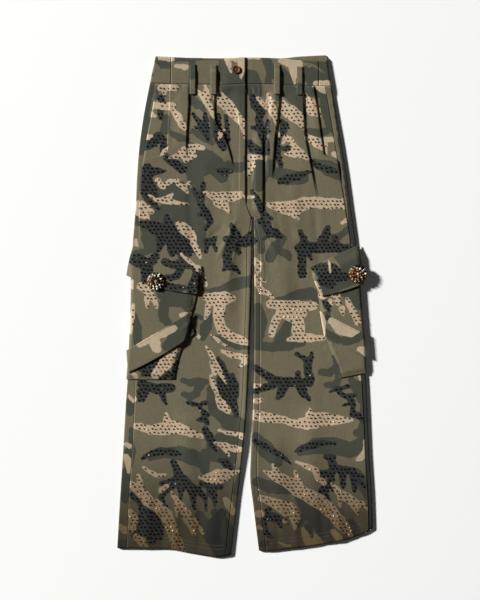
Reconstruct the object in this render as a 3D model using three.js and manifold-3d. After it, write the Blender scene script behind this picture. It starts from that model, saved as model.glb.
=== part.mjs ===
// Wide-leg cargo trousers in cotton twill, laid face up on a flat surface, in millimetres.
// +Z is up and +Y runs from the hems to the waist. The origin lies on the surface, under the
// middle of the garment. Sides are the wearer's, so the right leg is at -X.
// Each leg is a flattened tube. The back panel lies on the surface, turns up round both edges
// and meets the front panel on top, at the outseam and the inseam.
import * as THREE from "three";
import { mergeVertices } from "three/addons/utils/BufferGeometryUtils.js";
import Module from "manifold-3d";

const wasm = await Module();
wasm.setup();

// Driving sizes
const CLOTH = 1.2; // wall of one layer of twill
const LEG_HEIGHT = 4.8; // outside height of a flattened leg at its folded edges
const SEAM_GAP = 0.3;
const LAYER_GAP = 0.45; // between cloth and what lies on it
const DOUBLE_CLOTH = 2; // flaps, straps and belt loops, sewn from two layers
const WAIST_SEAM_Y = 478;
const WAIST_SEAM_GAP = 0.8; // wider, because its two curves are cut in different steps
const CENTRE_SEAM = 1; // x of the centre front and centre back seams
const CROTCH_Y = 190; // the legs are separate tubes below this

const FLOOR_Z = CLOTH / 2;
const TOP_Z = LEG_HEIGHT - CLOTH / 2;
const EDGE_R = (TOP_Z - FLOOR_Z) / 2; // fold radius at the middle of the wall
const RIGHT = -1;
const LEFT = 1;

const TWILL = { color: 0x6f6b4d, roughness: 0.9, metalness: 0 };
const PLAIN_TWILL = { color: 0x4d5140, roughness: 0.9, metalness: 0 };
const BRASS = { color: 0x6b4a22, roughness: 0.4, metalness: 0.8 };
const CRYSTAL = { color: 0xc8a878, roughness: 0.15, metalness: 0.3 };

// Outline of each side, at distances out from the middle line: outer folded edge, outseam.
const OUTLINE = {
  [RIGHT]: [
    { y: 536, outer: 192.4, seam: 183.8 },
    { y: 476, outer: 205.3, seam: 190.5 },
    { y: 411, outer: 217.8, seam: 202 },
    { y: 347, outer: 226.8, seam: 214 },
    { y: 282, outer: 232.2, seam: 223 },
    { y: 218, outer: 235, seam: 228 },
    { y: 121, outer: 242, seam: 229.5 },
    { y: -8, outer: 243.8, seam: 232.2 },
    { y: -73, outer: 246.5, seam: 233.3 },
    { y: -202, outer: 256, seam: 237 },
    { y: -331, outer: 263.6, seam: 243.6 },
    { y: -427, outer: 269.6, seam: 250.5 },
    { y: -522, outer: 275, seam: 254 },
  ],
  [LEFT]: [
    { y: 536, outer: 176.5, seam: 163 },
    { y: 476, outer: 186, seam: 173 },
    { y: 411, outer: 196.7, seam: 183.8 },
    { y: 347, outer: 208, seam: 194.5 },
    { y: 282, outer: 218.2, seam: 205.5 },
    { y: 218, outer: 227, seam: 216 },
    { y: 121, outer: 239.7, seam: 230 },
    { y: -8, outer: 249.4, seam: 241 },
    { y: -73, outer: 254.5, seam: 246 },
    { y: -202, outer: 262.3, seam: 255 },
    { y: -331, outer: 267.7, seam: 260.5 },
    { y: -427, outer: 272.3, seam: 265.3 },
    { y: -522, outer: 275, seam: 268 },
  ],
};

// Inner folded edge of each leg, and how far the inseam lies from it.
const INNER = {
  [RIGHT]: [
    { y: 190, edge: -16, inset: 11 },
    { y: 56, edge: -15, inset: 11 },
    { y: -73, edge: -10.8, inset: 11 },
    { y: -202, edge: -5.4, inset: 11 },
    { y: -331, edge: 6.9, inset: 12 },
    { y: -395, edge: 14.6, inset: 12 },
    { y: -522, edge: 30, inset: 12 },
  ],
  [LEFT]: [
    { y: 190, edge: 19.6, inset: 12 },
    { y: -73, edge: 20.4, inset: 12 },
    { y: -202, edge: 17.8, inset: 13 },
    { y: -331, edge: 12, inset: 14 },
    { y: -363, edge: 11, inset: 15 },
    { y: -427, edge: 18, inset: 16 },
    { y: -522, edge: 30, inset: 16 },
  ],
};

// Cut ends of the cloth across the garment, by x.
const WAIST_FRONT = [
  { x: -192, y: 536.5 },
  { x: -150, y: 534.5 },
  { x: -98, y: 532.5 },
  { x: -50, y: 531.5 },
  { x: 0, y: 534.5 },
  { x: 74, y: 532.4 },
  { x: 121, y: 527.6 },
  { x: 176, y: 526.5 },
];
const WAIST_BACK = [
  { x: -192, y: 537.5 },
  { x: -98, y: 534 },
  { x: 0, y: 534.5 },
  { x: 74, y: 533 },
  { x: 117, y: 537 },
  { x: 176, y: 540 },
];
const HEM = {
  [RIGHT]: [
    { out: 275, y: -521 },
    { out: 167, y: -522 },
    { out: 130, y: -528.5 },
    { out: 87, y: -536 },
    { out: 59, y: -540 },
    { out: 30, y: -535 },
  ],
  [LEFT]: [
    { out: 30, y: -526.4 },
    { out: 53, y: -527 },
    { out: 96, y: -522 },
    { out: 128, y: -518.5 },
    { out: 171, y: -512 },
    { out: 210, y: -504.5 },
    { out: 246, y: -493 },
    { out: 271, y: -480 },
    { out: 275, y: -474 },
  ],
};
const HEM_EASE = 240; // the rows bend into the hem's curve over this length
const WAIST_EASE = 130;

// Knife pleats. Line is the visible folded edge, overlap its depth at the waist and rise the
// height of its three layers. The overlap closes at closeY, and the step fades out at endY.
const PLEATS = {
  [RIGHT]: [
    {
      line: [
        { y: 540, out: 121 },
        { y: 452, out: 121 },
        { y: 348, out: 126.5 },
        { y: 250, out: 128 },
      ],
      startY: WAIST_SEAM_Y,
      closeY: 385,
      endY: 300,
    },
    {
      line: [
        { y: 540, out: 66 },
        { y: 408, out: 65.5 },
        { y: 362, out: 43 },
        { y: 287, out: 22 },
      ],
      startY: WAIST_SEAM_Y,
      closeY: 345,
      endY: 292,
    },
  ],
  [LEFT]: [
    {
      line: [
        { y: 540, out: 123 },
        { y: 456, out: 125.5 },
        { y: 381, out: 128 },
        { y: 309, out: 140 },
        { y: 230, out: 155 },
      ],
      startY: WAIST_SEAM_Y,
      closeY: 310,
      endY: 215,
    },
    {
      line: [
        { y: 540, out: 75 },
        { y: 460, out: 74.5 },
        { y: 344, out: 63.2 },
        { y: 271, out: 58.3 },
        { y: 230, out: 57 },
      ],
      startY: WAIST_SEAM_Y,
      closeY: 330,
      endY: 262,
    },
    {
      line: [
        { y: 400, out: 38.5 },
        { y: 190, out: 38.5 },
      ],
      startY: 395,
      closeY: 235,
      endY: 196,
    },
  ],
};
const PLEAT_OVERLAP = 6;
const PLEAT_RISE = 3.2;
const PLEAT_WIDTH = 6;
const PLEAT_STEPS = [0, 0.15, 0.22, 0.28, 0.36, 0.64, 0.72, 0.78, 0.85, 1];

// Slanted side pocket mouth: its edge, and the facing under it.
const MOUTH = {
  [RIGHT]: [
    { y: 540, out: 159 },
    { y: 330, out: 168.5 },
  ],
  [LEFT]: [
    { y: 540, out: 140 },
    { y: 330, out: 170 },
  ],
};
const MOUTH_END_Y = 326;
const MOUTH_RISE = CLOTH + 0.6;
const FACING_UNDERLAP = 6;
const FACING_END_Y = 300;

// Fly: the right front laps over the left one.
const FLY_UNDERLAP = 8;
const FLY_LAP = 12; // the lapping part of the right front
const FLY_END_Y = 214;
const FLY_RISE = CLOTH + LAYER_GAP + 0.5;

// Long soft folds down the legs, as ridges on the top layer.
const FOLDS = [
  { side: RIGHT, out0: 22, y0: 235, out1: 48, y1: -60, rise: 2.4, width: 20 },
  { side: RIGHT, out0: 128, y0: -190, out1: 118, y1: -480, rise: 2.2, width: 24 },
  { side: RIGHT, out0: 50, y0: -330, out1: 74, y1: -535, rise: 1.8, width: 18 },
  { side: LEFT, out0: 60, y0: 240, out1: 92, y1: -20, rise: 2.4, width: 20 },
  { side: LEFT, out0: 138, y0: -190, out1: 150, y1: -470, rise: 2.2, width: 24 },
  { side: LEFT, out0: 62, y0: -250, out1: 84, y1: -520, rise: 1.8, width: 18 },
];

// Waistband: the back strap turns up round the sides as far as seamOut on the front.
const BAND_RISE = 1.6;
const BAND_SEAM_OUT = 159;
const BAND_CLOTH = 2;
const BAND_LAP_RISE = BAND_CLOTH + LAYER_GAP;
const BAND_UNDERLAP = 31;

// Belt loops, by wearer's side and distance out.
const LOOP_WIDTH = 12;
const LOOP_TOP_Y = 522;
const LOOP_END_Y = 456;
const LOOPS = [
  { name: "belt_loop_right_outer", side: RIGHT, out: 112.4 },
  { name: "belt_loop_right_inner", side: RIGHT, out: 67.4 },
  { name: "belt_loop_left_inner", side: LEFT, out: 69.2 },
  { name: "belt_loop_left_outer", side: LEFT, out: 117.4 },
];

const BUTTON = { x: -18.9, y: 507.5, radius: 8.5 };

// Cargo pockets, their flaps and straps: rows from the top edge to the bottom edge, each from
// its inner end to its outer end, with sag as the drop of its middle below a straight line.
const POCKETS = {
  [RIGHT]: [
    { inOut: 100, inY: 58, outY: 101, sag: 0 },
    { inOut: 102, inY: 38, outY: 62, sag: 0 },
    { inOut: 106, inY: 12, outY: 12, sag: 0 },
    { inOut: 114, inY: -16, outY: -36, sag: 0 },
    { inOut: 126, inY: -62, outY: -80, sag: 0 },
    { inOut: 140, inY: -104, outY: -114, sag: 0 },
    { inOut: 149, inY: -143, outY: -144, sag: 0 },
    { inOut: 150.5, inY: -158, outY: -158, sag: 0 },
  ],
  [LEFT]: [
    { inOut: 150, inY: 56, outY: 97, sag: 0 },
    { inOut: 155, inY: 36, outY: 62, sag: 0 },
    { inOut: 160, inY: 6, outY: 20, sag: 0 },
    { inOut: 166, inY: -30, outY: -26, sag: 0 },
    { inOut: 177, inY: -74, outY: -74, sag: 0 },
    { inOut: 189, inY: -107, outY: -105, sag: 0 },
    { inOut: 201, inY: -140, outY: -131, sag: 0 },
    { inOut: 204, inY: -155, outY: -145, sag: 0 },
  ],
};
const FLAPS = {
  [RIGHT]: [
    { inOut: 94, inY: 86, outOut: 240.8, outY: 130, sag: 1 },
    { inOut: 92, inY: 66, outOut: 246.5, outY: 107, sag: 3 },
    { inOut: 94.5, inY: 46, outOut: 251.5, outY: 86, sag: 6 },
    { inOut: 102.5, inY: 26, outOut: 254.8, outY: 66, sag: 9 },
  ],
  [LEFT]: [
    { inOut: 141, inY: 84, outOut: 243, outY: 131, sag: 1 },
    { inOut: 146, inY: 62, outOut: 248, outY: 104, sag: 2 },
    { inOut: 154, inY: 41, outOut: 252, outY: 76, sag: 3 },
    { inOut: 164.5, inY: 21, outOut: 255, outY: 47, sag: 3 },
  ],
};
const STRAPS = {
  [RIGHT]: [
    { inOut: 118, inY: -14, outOut: 254.6, outY: -95.5, sag: 0 },
    { inOut: 113, inY: -37, outOut: 252.8, outY: -119, sag: 2 },
    { inOut: 107.5, inY: -60, outOut: 250.7, outY: -143, sag: 5 },
  ],
  [LEFT]: [
    { inOut: 161, inY: -10.8, outOut: 253.7, outY: -58, sag: 0 },
    { inOut: 166, inY: -40, outOut: 257, outY: -84, sag: 0 },
    { inOut: 171, inY: -68.8, outOut: 260, outY: -109.7, sag: 2 },
  ],
};
const POCKET_RISE = 3;
const POCKET_WRAP = 2.2; // how far the pocket stands out past the leg's folded edge
const COVER_DROOP = 5;

// Brooches: a domed disc set with rings of cut stones, pinned on each flap.
const BROOCH_RADIUS = 19.5;
const BROOCH_HEIGHT = 5.5;
const BROOCHES = {
  [RIGHT]: { out: 191, y: 53 },
  [LEFT]: { out: 242, y: 69 },
};
const STONE_RINGS = [
  { radius: 0, count: 1 },
  { radius: 6, count: 6 },
  { radius: 11.7, count: 12 },
  { radius: 17, count: 18 },
];
const STONE_RADIUS = 2.6;
const STONE_HEIGHT = 3.2;

const mix = (a, b, t) => a + (b - a) * t;
const clamp01 = (t) => Math.min(1, Math.max(0, t));
const smooth = (t) => clamp01(t) ** 2 * (3 - 2 * clamp01(t));
const ramp = (v, from, to) => smooth((v - from) / (to - from));

// A value from a table, eased between its rows with a monotone curve through them.
function lookUp(table, key, name, at) {
  const rows = table[0][key] <= table[table.length - 1][key] ? table : [...table].reverse();
  const last = rows.length - 1;
  if (at <= rows[0][key]) return rows[0][name];
  if (at >= rows[last][key]) return rows[last][name];
  const i = rows.findIndex((r, k) => k < last && at <= rows[k + 1][key]);
  const slopeOf = (k) => (rows[k + 1][name] - rows[k][name]) / (rows[k + 1][key] - rows[k][key]);
  const tangentAt = (k) => {
    if (k === 0) return slopeOf(0);
    if (k === last) return slopeOf(last - 1);
    const [before, after] = [slopeOf(k - 1), slopeOf(k)];
    return before * after <= 0 ? 0 : (2 * before * after) / (before + after);
  };
  const span = rows[i + 1][key] - rows[i][key];
  const t = (at - rows[i][key]) / span;
  return (
    rows[i][name] * (1 + 2 * t) * (1 - t) ** 2 +
    rows[i + 1][name] * t * t * (3 - 2 * t) +
    span * (tangentAt(i) * t * (1 - t) ** 2 - tangentAt(i + 1) * t * t * (1 - t))
  );
}

const outerEdge = (side, y) => lookUp(OUTLINE[side], "y", "outer", y) - CLOTH / 2;
const outseam = (side, y) => lookUp(OUTLINE[side], "y", "seam", y);
const innerEdge = (side, y) => lookUp(INNER[side], "y", "edge", y) + CLOTH / 2;
const inseam = (side, y) =>
  lookUp(INNER[side], "y", "edge", y) + lookUp(INNER[side], "y", "inset", y);

// Height that the long folds add to the top layer.
function foldRise(side, out, y) {
  let rise = 0;
  for (const f of FOLDS) {
    if (f.side !== side) continue;
    const t = (f.y0 - y) / (f.y0 - f.y1);
    const away = (out - mix(f.out0, f.out1, t)) / f.width;
    rise += f.rise * smooth(t * 4) * smooth((1 - t) * 4) * Math.exp(-away * away);
  }
  return rise;
}

// Where a row's point lies along the garment, once the cut ends curve. The waist's curve is
// the front's on top and the back's on the floor.
function bentY(side, out, y, onTop) {
  const [hemRow, waistRow] = [PANEL_ROWS.at(-1), BAND_ROWS[0]];
  const hemShift = lookUp(HEM[side], "out", "y", out) - hemRow;
  const waist = mix(
    lookUp(WAIST_BACK, "x", "y", side * out),
    lookUp(WAIST_FRONT, "x", "y", side * out),
    onTop,
  );
  return (
    y +
    hemShift * ramp(y, hemRow + HEM_EASE, hemRow) +
    (waist - waistRow) * ramp(y, waistRow - WAIST_EASE, waistRow)
  );
}

// Wall of cloth through rows of section points at the middle of its thickness. A point is
// { out, z, u } and may hold its own y and onTop, and u pairs the points of two rows.
function clothWall(side, rows, thickness) {
  const sheets = rows.map(({ y, points }) =>
    points.map((p, i) => {
      const before = points[Math.max(0, i - 1)];
      const after = points[Math.min(points.length - 1, i + 1)];
      const [da, dz] = [after.out - before.out, after.z - before.z];
      const half = thickness / 2 / Math.hypot(da, dz);
      const place = (way) => [
        side * (p.out + way * dz * half),
        bentY(side, p.out, p.y ?? y, p.onTop ?? 1),
        p.z - way * da * half,
      ];
      return { u: p.u, faces: [place(1), place(-1)] };
    }),
  );
  return closedSheet(sheets);
}

// Closes two faces of a sheet round its rims and returns the geometry, facing out.
function closedSheet(sheets) {
  const positions = [];
  const index = [];
  const ids = sheets.map((row) =>
    row.map(({ faces }) => faces.map((f) => positions.push(...f) / 3 - 1)),
  );
  const quad = (a, b, c, d) => index.push(a, b, c, a, c, d);
  for (let r = 0; r + 1 < sheets.length; r++) {
    let [i, j] = [0, 0];
    const [upper, lower] = [ids[r], ids[r + 1]];
    while (i < upper.length - 1 || j < lower.length - 1) {
      const uNext = i < upper.length - 1 ? sheets[r][i + 1].u : Infinity;
      const lNext = j < lower.length - 1 ? sheets[r + 1][j + 1].u : Infinity;
      const corner = uNext <= lNext ? upper[i + 1] : lower[j + 1];
      index.push(upper[i][0], corner[0], lower[j][0], upper[i][1], lower[j][1], corner[1]);
      if (uNext <= lNext) i++;
      else j++;
    }
    for (const at of [0, -1]) {
      const [p, q] = [upper.at(at), lower.at(at)];
      if (at === 0) quad(p[0], q[0], q[1], p[1]);
      else quad(p[0], p[1], q[1], q[0]);
    }
  }
  for (const [row, first] of [
    [ids[0], true],
    [ids.at(-1), false],
  ]) {
    for (let i = 0; i + 1 < row.length; i++) {
      const [p, q] = first ? [row[i], row[i + 1]] : [row[i + 1], row[i]];
      quad(p[0], p[1], q[1], q[0]);
    }
  }
  return facingOut(positions, index);
}

function facingOut(positions, index) {
  const v = (i) => new THREE.Vector3().fromArray(positions, 3 * i);
  let volume = 0;
  for (let i = 0; i < index.length; i += 3) {
    volume += v(index[i]).dot(v(index[i + 1]).cross(v(index[i + 2])));
  }
  const turned = volume > 0 ? index : [...index].reverse();
  return new THREE.BufferGeometry()
    .setAttribute("position", new THREE.Float32BufferAttribute(positions, 3))
    .setIndex(turned);
}

// Rows of the waistband and of the panels, from the waist to the hem.
const BAND_ROWS = [536, 522, 507, 492, WAIST_SEAM_Y + WAIST_SEAM_GAP / 2];
const PANEL_ROWS = [
  [WAIST_SEAM_Y - WAIST_SEAM_GAP / 2, 464, 440, 415, 385, 358, 340, 326, 314, 300, 282, 262, 240],
  [228, 214, 200, CROTCH_Y, 160],
  [110, 50, -20, -90, -160, -230, -300, -370, -440, -522],
].flat();

// A folded edge: half a turn from the floor layer at z0 to the top layer at z1.
const EDGE_STEPS = [0, 0.2, 0.4, 0.6, 0.8, 1];
function edgeTurn(out, z0, z1, u0) {
  const r = (z1 - z0) / 2;
  return EDGE_STEPS.map((t) => ({
    out: out - r + r * Math.sin(Math.PI * t),
    z: z0 + r - r * Math.cos(Math.PI * t),
    u: u0 + t,
    onTop: t,
  }));
}

// Back panel: along the floor, round the outer edge and on to the outseam. Below the crotch
// it also turns up round the inner edge, as far as the inseam.
function backPanel(side) {
  const rows = PANEL_ROWS.map((y) => {
    const points = [];
    const turn = edgeTurn(outerEdge(side, y), FLOOR_Z, TOP_Z, 1);
    let start = side * CENTRE_SEAM + SEAM_GAP / 2;
    if (y <= CROTCH_Y) {
      const edge = innerEdge(side, y);
      start = edge + EDGE_R;
      points.push({ out: inseam(side, y) - SEAM_GAP / 2, z: TOP_Z, u: -2 });
      const innerTurn = edgeTurn(-edge, FLOOR_Z, TOP_Z, 0).reverse();
      points.push(...innerTurn.map((p) => ({ ...p, out: -p.out, u: -0.1 - 0.9 * p.u })));
      points.pop();
    }
    for (const t of [0, 0.33, 0.67]) {
      points.push({ out: mix(start, turn[0].out, t), z: FLOOR_Z, u: t, onTop: 0 });
    }
    points.push(...turn, { out: outseam(side, y) + SEAM_GAP / 2, z: TOP_Z, u: 3 });
    return { y, points };
  });
  return clothWall(side, rows, CLOTH);
}

// One pleat's share of a row: the two turns of its fold, from the outer side to the inner.
// Its raised side is at -X on both legs.
function pleatPoints(side, pleat, y) {
  const atWaist = pleat.startY === WAIST_SEAM_Y;
  const start = atWaist ? 1 : ramp(y, pleat.startY, pleat.startY - 60);
  const overlap = PLEAT_OVERLAP * start * ramp(y, pleat.closeY - 45, pleat.closeY);
  const rise = PLEAT_RISE * start * ramp(y, pleat.endY, pleat.closeY - 20);
  const line = lookUp(pleat.line, "y", "out", y);
  const middle = line + side * (PLEAT_WIDTH / 4 - overlap);
  return PLEAT_STEPS.map((t) => {
    const step = 0.5 * ramp(t, 0.15, 0.35) + 0.5 * ramp(t, 0.65, 0.85);
    return {
      out: middle + PLEAT_WIDTH * (0.5 - t) - overlap * Math.sin(2 * Math.PI * t),
      lift: rise * (side === RIGHT ? 1 - step : step),
    };
  });
}

// The front panel's section at y: from the pocket mouth or the outseam, through its pleats,
// to the centre front or the inseam.
function frontSection(side, y) {
  const seam = outseam(side, y) - SEAM_GAP / 2;
  const mouth = lookUp(MOUTH[side], "y", "out", y);
  const outer = mix(seam, mouth, ramp(y, 312, MOUTH_END_Y));
  const mouthLift = MOUTH_RISE * ramp(y, FACING_END_Y - 38, FACING_END_Y - 2);
  let inner = side * CENTRE_SEAM + SEAM_GAP / 2;
  let lapLift = 0;
  if (side === RIGHT) lapLift = FLY_RISE * ramp(y, FLY_END_Y, 240);
  if (side === LEFT) inner -= FLY_UNDERLAP * ramp(y, 240, 282);
  if (y <= CROTCH_Y) inner = inseam(side, y) + SEAM_GAP / 2;
  const mouthOwn = [{ out: outer, lift: mouthLift }];
  if (mouthLift > 0) mouthOwn.push({ out: mouth - FACING_UNDERLAP - 2, lift: mouthLift });
  const lapOwn = [{ out: inner, lift: lapLift }];
  if (y > FLY_END_Y) lapOwn.unshift({ out: FLY_LAP, lift: lapLift });

  const stretches = [{ own: mouthOwn, u: 0 }];
  PLEATS[side].forEach((pleat, k) => {
    if (y > pleat.startY || y < pleat.endY) return;
    stretches.push({ own: pleatPoints(side, pleat, y), u: 1 + k });
  });
  stretches.push({ own: lapOwn, u: 4 });

  const points = [];
  const add = (out, lift, u) => points.push({ out, z: TOP_Z + lift + foldRise(side, out, y), u });
  stretches.forEach(({ own, u }, k) => {
    own.forEach((p, i) => add(p.out, p.lift, u + (0.5 * i) / own.length));
    const next = stretches[k + 1];
    if (!next) return;
    const [from, to] = [own.at(-1), next.own[0]];
    const pieces = Math.max(1, Math.round((from.out - to.out) / 24));
    for (let i = 1; i < pieces; i++) {
      const t = i / pieces;
      add(mix(from.out, to.out, t), mix(from.lift, to.lift, smooth(t)), mix(u + 0.5, next.u, t));
    }
  });
  return points;
}

function frontPanel(side) {
  return clothWall(
    side,
    PANEL_ROWS.map((y) => ({ y, points: frontSection(side, y) })),
    CLOTH,
  );
}

// Highest point of the leg's top layer at a place, at the middle of its wall. Past the
// outseam it is the back panel's turned edge, and past that a cover droops.
function topAt(side, out, y) {
  const points = frontSection(side, Math.min(y, PANEL_ROWS[0]));
  let z = TOP_Z - COVER_DROOP * ramp(out, outerEdge(side, y) - 2, outerEdge(side, y) + 14);
  for (let i = 0; i + 1 < points.length; i++) {
    const [a, b] = [points[i], points[i + 1]];
    const t = (out - a.out) / (b.out - a.out);
    if (t >= 0 && t <= 1) z = Math.max(z, mix(a.z, b.z, t));
  }
  return z;
}

// Facing seen inside the side pocket's mouth, level with the back panel's turned edge.
function pocketFacing(side) {
  const rows = PANEL_ROWS.filter((y) => y >= FACING_END_Y).map((y) => {
    const seam = outseam(side, y) - SEAM_GAP / 2;
    const inner = lookUp(MOUTH[side], "y", "out", y) - FACING_UNDERLAP;
    return { y, points: [0, 0.5, 1].map((t) => ({ out: mix(seam, inner, t), z: TOP_Z, u: t })) };
  });
  return clothWall(side, rows, CLOTH);
}

// Waistband front: flat over the pleats. The right one laps over the left one.
function bandFront(side) {
  const z = TOP_Z + BAND_RISE;
  const rows = BAND_ROWS.map((y) => {
    const outs = [BAND_SEAM_OUT - SEAM_GAP / 2, 125, 90, 55, 36, 18].map((out) => ({ out, z }));
    const end = side * CENTRE_SEAM + SEAM_GAP / 2;
    if (side === RIGHT) {
      outs[4].z += BAND_LAP_RISE;
      outs[5].z += BAND_LAP_RISE;
      outs.push({ out: end, z: z + BAND_LAP_RISE });
    } else {
      outs.push({ out: end, z }, { out: end - BAND_UNDERLAP, z });
    }
    return { y, points: outs.map((p, i) => ({ ...p, u: i })) };
  });
  return clothWall(side, rows, BAND_CLOTH);
}

// Waistband back: along the floor and up round both sides, in one piece.
function bandBack() {
  const z0 = BAND_CLOTH / 2;
  const z1 = TOP_Z + BAND_RISE;
  const rows = BAND_ROWS.map((y) => {
    const half = (side) => [
      ...[55, 110].map((out) => ({ out, z: z0, onTop: 0 })),
      ...edgeTurn(lookUp(OUTLINE[side], "y", "outer", y) - BAND_CLOTH / 2, z0, z1, 0),
      { out: BAND_SEAM_OUT + SEAM_GAP / 2, z: z1, onTop: 1 },
    ];
    const right = half(RIGHT).map((p) => ({ ...p, out: -p.out }));
    const middle = { out: 0, z: z0, onTop: 0 };
    const points = [...right.reverse(), middle, ...half(LEFT)];
    return { y, points: points.map((p, i) => ({ ...p, u: i })) };
  });
  return clothWall(LEFT, rows, BAND_CLOTH);
}

// Belt loop: pressed down at both ends and standing off the band between them.
function beltLoop(side, out) {
  const half = LOOP_WIDTH / 2;
  const clear = DOUBLE_CLOTH / 2 + LAYER_GAP;
  const onPanel = (y) =>
    Math.max(...[-half, -half / 2, 0, half / 2, half].map((d) => topAt(side, out + d, y)));
  const bandTop = TOP_Z + BAND_RISE + BAND_CLOTH / 2 + clear;
  const pleatTop = onPanel(PANEL_ROWS[0]) + CLOTH / 2 + clear + 0.3;
  const endTop = onPanel(LOOP_END_Y) + CLOTH / 2 + clear + 0.3;
  const high = Math.max(bandTop, pleatTop);
  const rows = [
    { y: LOOP_TOP_Y, z: bandTop },
    { y: LOOP_TOP_Y - 8, z: bandTop },
    { y: LOOP_TOP_Y - 16, z: high + 0.6 },
    { y: WAIST_SEAM_Y + 4, z: high + 0.6 },
    { y: LOOP_END_Y + 14, z: high },
    { y: LOOP_END_Y, z: Math.max(endTop, high - 1) },
  ];
  return clothWall(
    side,
    rows.map(({ y, z }) => ({
      y,
      points: [1, 0, -1].map((d) => ({ out: out + d * half, z, u: -d })),
    })),
    DOUBLE_CLOTH,
  );
}

// How far the pocket's inner edge reaches at y.
const pocketInner = (side, y) => lookUp(POCKETS[side], "inY", "inOut", y);

// Cargo pocket: a bellows pocket, sewn down along its inner and bottom edges, which wraps
// round the leg's folded edge.
function cargoPocket(side) {
  const table = POCKETS[side];
  const last = table.length - 1;
  const rows = table.map((row, k) => {
    const edge = lookUp(OUTLINE[side], "y", "outer", row.outY);
    const ends = k === 0 || k === last ? 0.15 : 1;
    const point = (t, d, u) => {
      const out = mix(row.inOut, edge - 5, t);
      const rise = POCKET_RISE * ends * smooth(d);
      const y = mix(row.inY, row.outY, t);
      return { out, y, z: topAt(side, out, y) + CLOTH + LAYER_GAP + rise, u };
    };
    const points = [
      point(0, 0, 0),
      point(0.07, 0.6, 1),
      point(0.16, 1, 2),
      point(0.4, 1, 3),
      point(0.7, 1, 4),
      point(1, 1, 5),
    ].reverse();
    const y = row.outY;
    const top = points[0].z;
    const wrap = [
      { out: edge + POCKET_WRAP, z: 1.5, y, u: -4 },
      { out: edge + POCKET_WRAP, z: TOP_Z, y, u: -3 },
      { out: edge + POCKET_WRAP - 0.6, z: mix(TOP_Z, top, 0.6), y, u: -2 },
      { out: edge - 1.5, z: mix(TOP_Z, top, 0.93), y, u: -1 },
    ];
    return { y, points: [...wrap, ...points.map((p) => ({ ...p, u: 5 - p.u }))] };
  });
  return clothWall(side, rows, CLOTH);
}

// A flap or strap over the cargo pocket: it follows the panel, the pocket and the leg's edge.
function cover(side, table, sewnTop) {
  const last = table.length - 1;
  const rows = table.map((row, k) => {
    const points = [0, 0.06, 0.14, 0.24, 0.36, 0.5, 0.64, 0.78, 0.88, 0.94, 1].map((t) => {
      const out = mix(row.inOut, row.outOut, t);
      const y = mix(row.inY, row.outY, t) - row.sag * 4 * t * (1 - t);
      const overPocket = smooth((out - pocketInner(side, y) + 15) / 13);
      const free = sewnTop ? smooth((3 * k) / last) : 1;
      const lift = CLOTH / 2 + LAYER_GAP + DOUBLE_CLOTH / 2 + 0.2;
      const pocketLift = CLOTH + LAYER_GAP + POCKET_RISE + 0.2;
      return { out, y, z: topAt(side, out, y) + lift + pocketLift * overPocket * free, u: -t };
    });
    return { y: row.inY, points: points.reverse().map((p, i) => ({ ...p, u: i })) };
  });
  return clothWall(side, rows, DOUBLE_CLOTH);
}

// Shapes of three.js as solids, to join them, and back.
function solidOf(geometry) {
  const bare = new THREE.BufferGeometry()
    .setAttribute("position", geometry.getAttribute("position"))
    .setIndex(geometry.getIndex());
  const merged = mergeVertices(bare, 1e-4);
  return new wasm.Manifold(
    new wasm.Mesh({
      numProp: 3,
      vertProperties: merged.getAttribute("position").array,
      triVerts: new Uint32Array(merged.getIndex().array),
    }),
  );
}

function geometryOf(solid) {
  const { vertProperties, triVerts } = solid.getMesh();
  return new THREE.BufferGeometry()
    .setAttribute("position", new THREE.Float32BufferAttribute(vertProperties, 3))
    .setIndex([...triVerts]);
}

// Brooch: the dome and its cut stones, in one piece, standing on z = 0.
function brooch() {
  const domeHeight = (r) => BROOCH_HEIGHT - 4.2 * (r / BROOCH_RADIUS) ** 2;
  const profile = [new THREE.Vector2(0, 0), new THREE.Vector2(BROOCH_RADIUS, 0)];
  for (const t of [1, 0.6]) {
    profile.push(new THREE.Vector2(BROOCH_RADIUS * t, domeHeight(BROOCH_RADIUS * t)));
  }
  profile.push(new THREE.Vector2(0, BROOCH_HEIGHT));
  let solid = solidOf(new THREE.LatheGeometry(profile, 18).rotateX(Math.PI / 2));
  for (const { radius, count } of STONE_RINGS) {
    const tilt = Math.atan((2 * 4.2 * radius) / BROOCH_RADIUS ** 2);
    for (let i = 0; i < count; i++) {
      const stone = new THREE.CylinderGeometry(STONE_RADIUS * 0.55, STONE_RADIUS, STONE_HEIGHT, 5)
        .rotateX(Math.PI / 2)
        .rotateY(tilt)
        .translate(radius, 0, domeHeight(radius) + STONE_HEIGHT / 2 - 0.8)
        .rotateZ((2 * Math.PI * (i + radius / 20)) / count);
      solid = solid.add(solidOf(stone));
    }
  }
  return geometryOf(solid);
}

// Waist button: a dished disc with a rolled rim, standing on z = 0.
function waistButton() {
  const r = BUTTON.radius;
  const profile = [
    [0, 0],
    [r * 0.86, 0],
    [r, 0.9],
    [r, 1.7],
    [r * 0.9, 2.6],
    [r * 0.78, 2.6],
    [r * 0.7, 2],
    [0, 2.2],
  ].map(([x, z]) => new THREE.Vector2(x, z));
  return new THREE.LatheGeometry(profile, 28).rotateX(Math.PI / 2);
}

const group = new THREE.Group();
function addPiece(name, geometry, finish) {
  const mesh = new THREE.Mesh(geometry, new THREE.MeshStandardMaterial(finish));
  mesh.name = name;
  group.add(mesh);
  return mesh;
}

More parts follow.
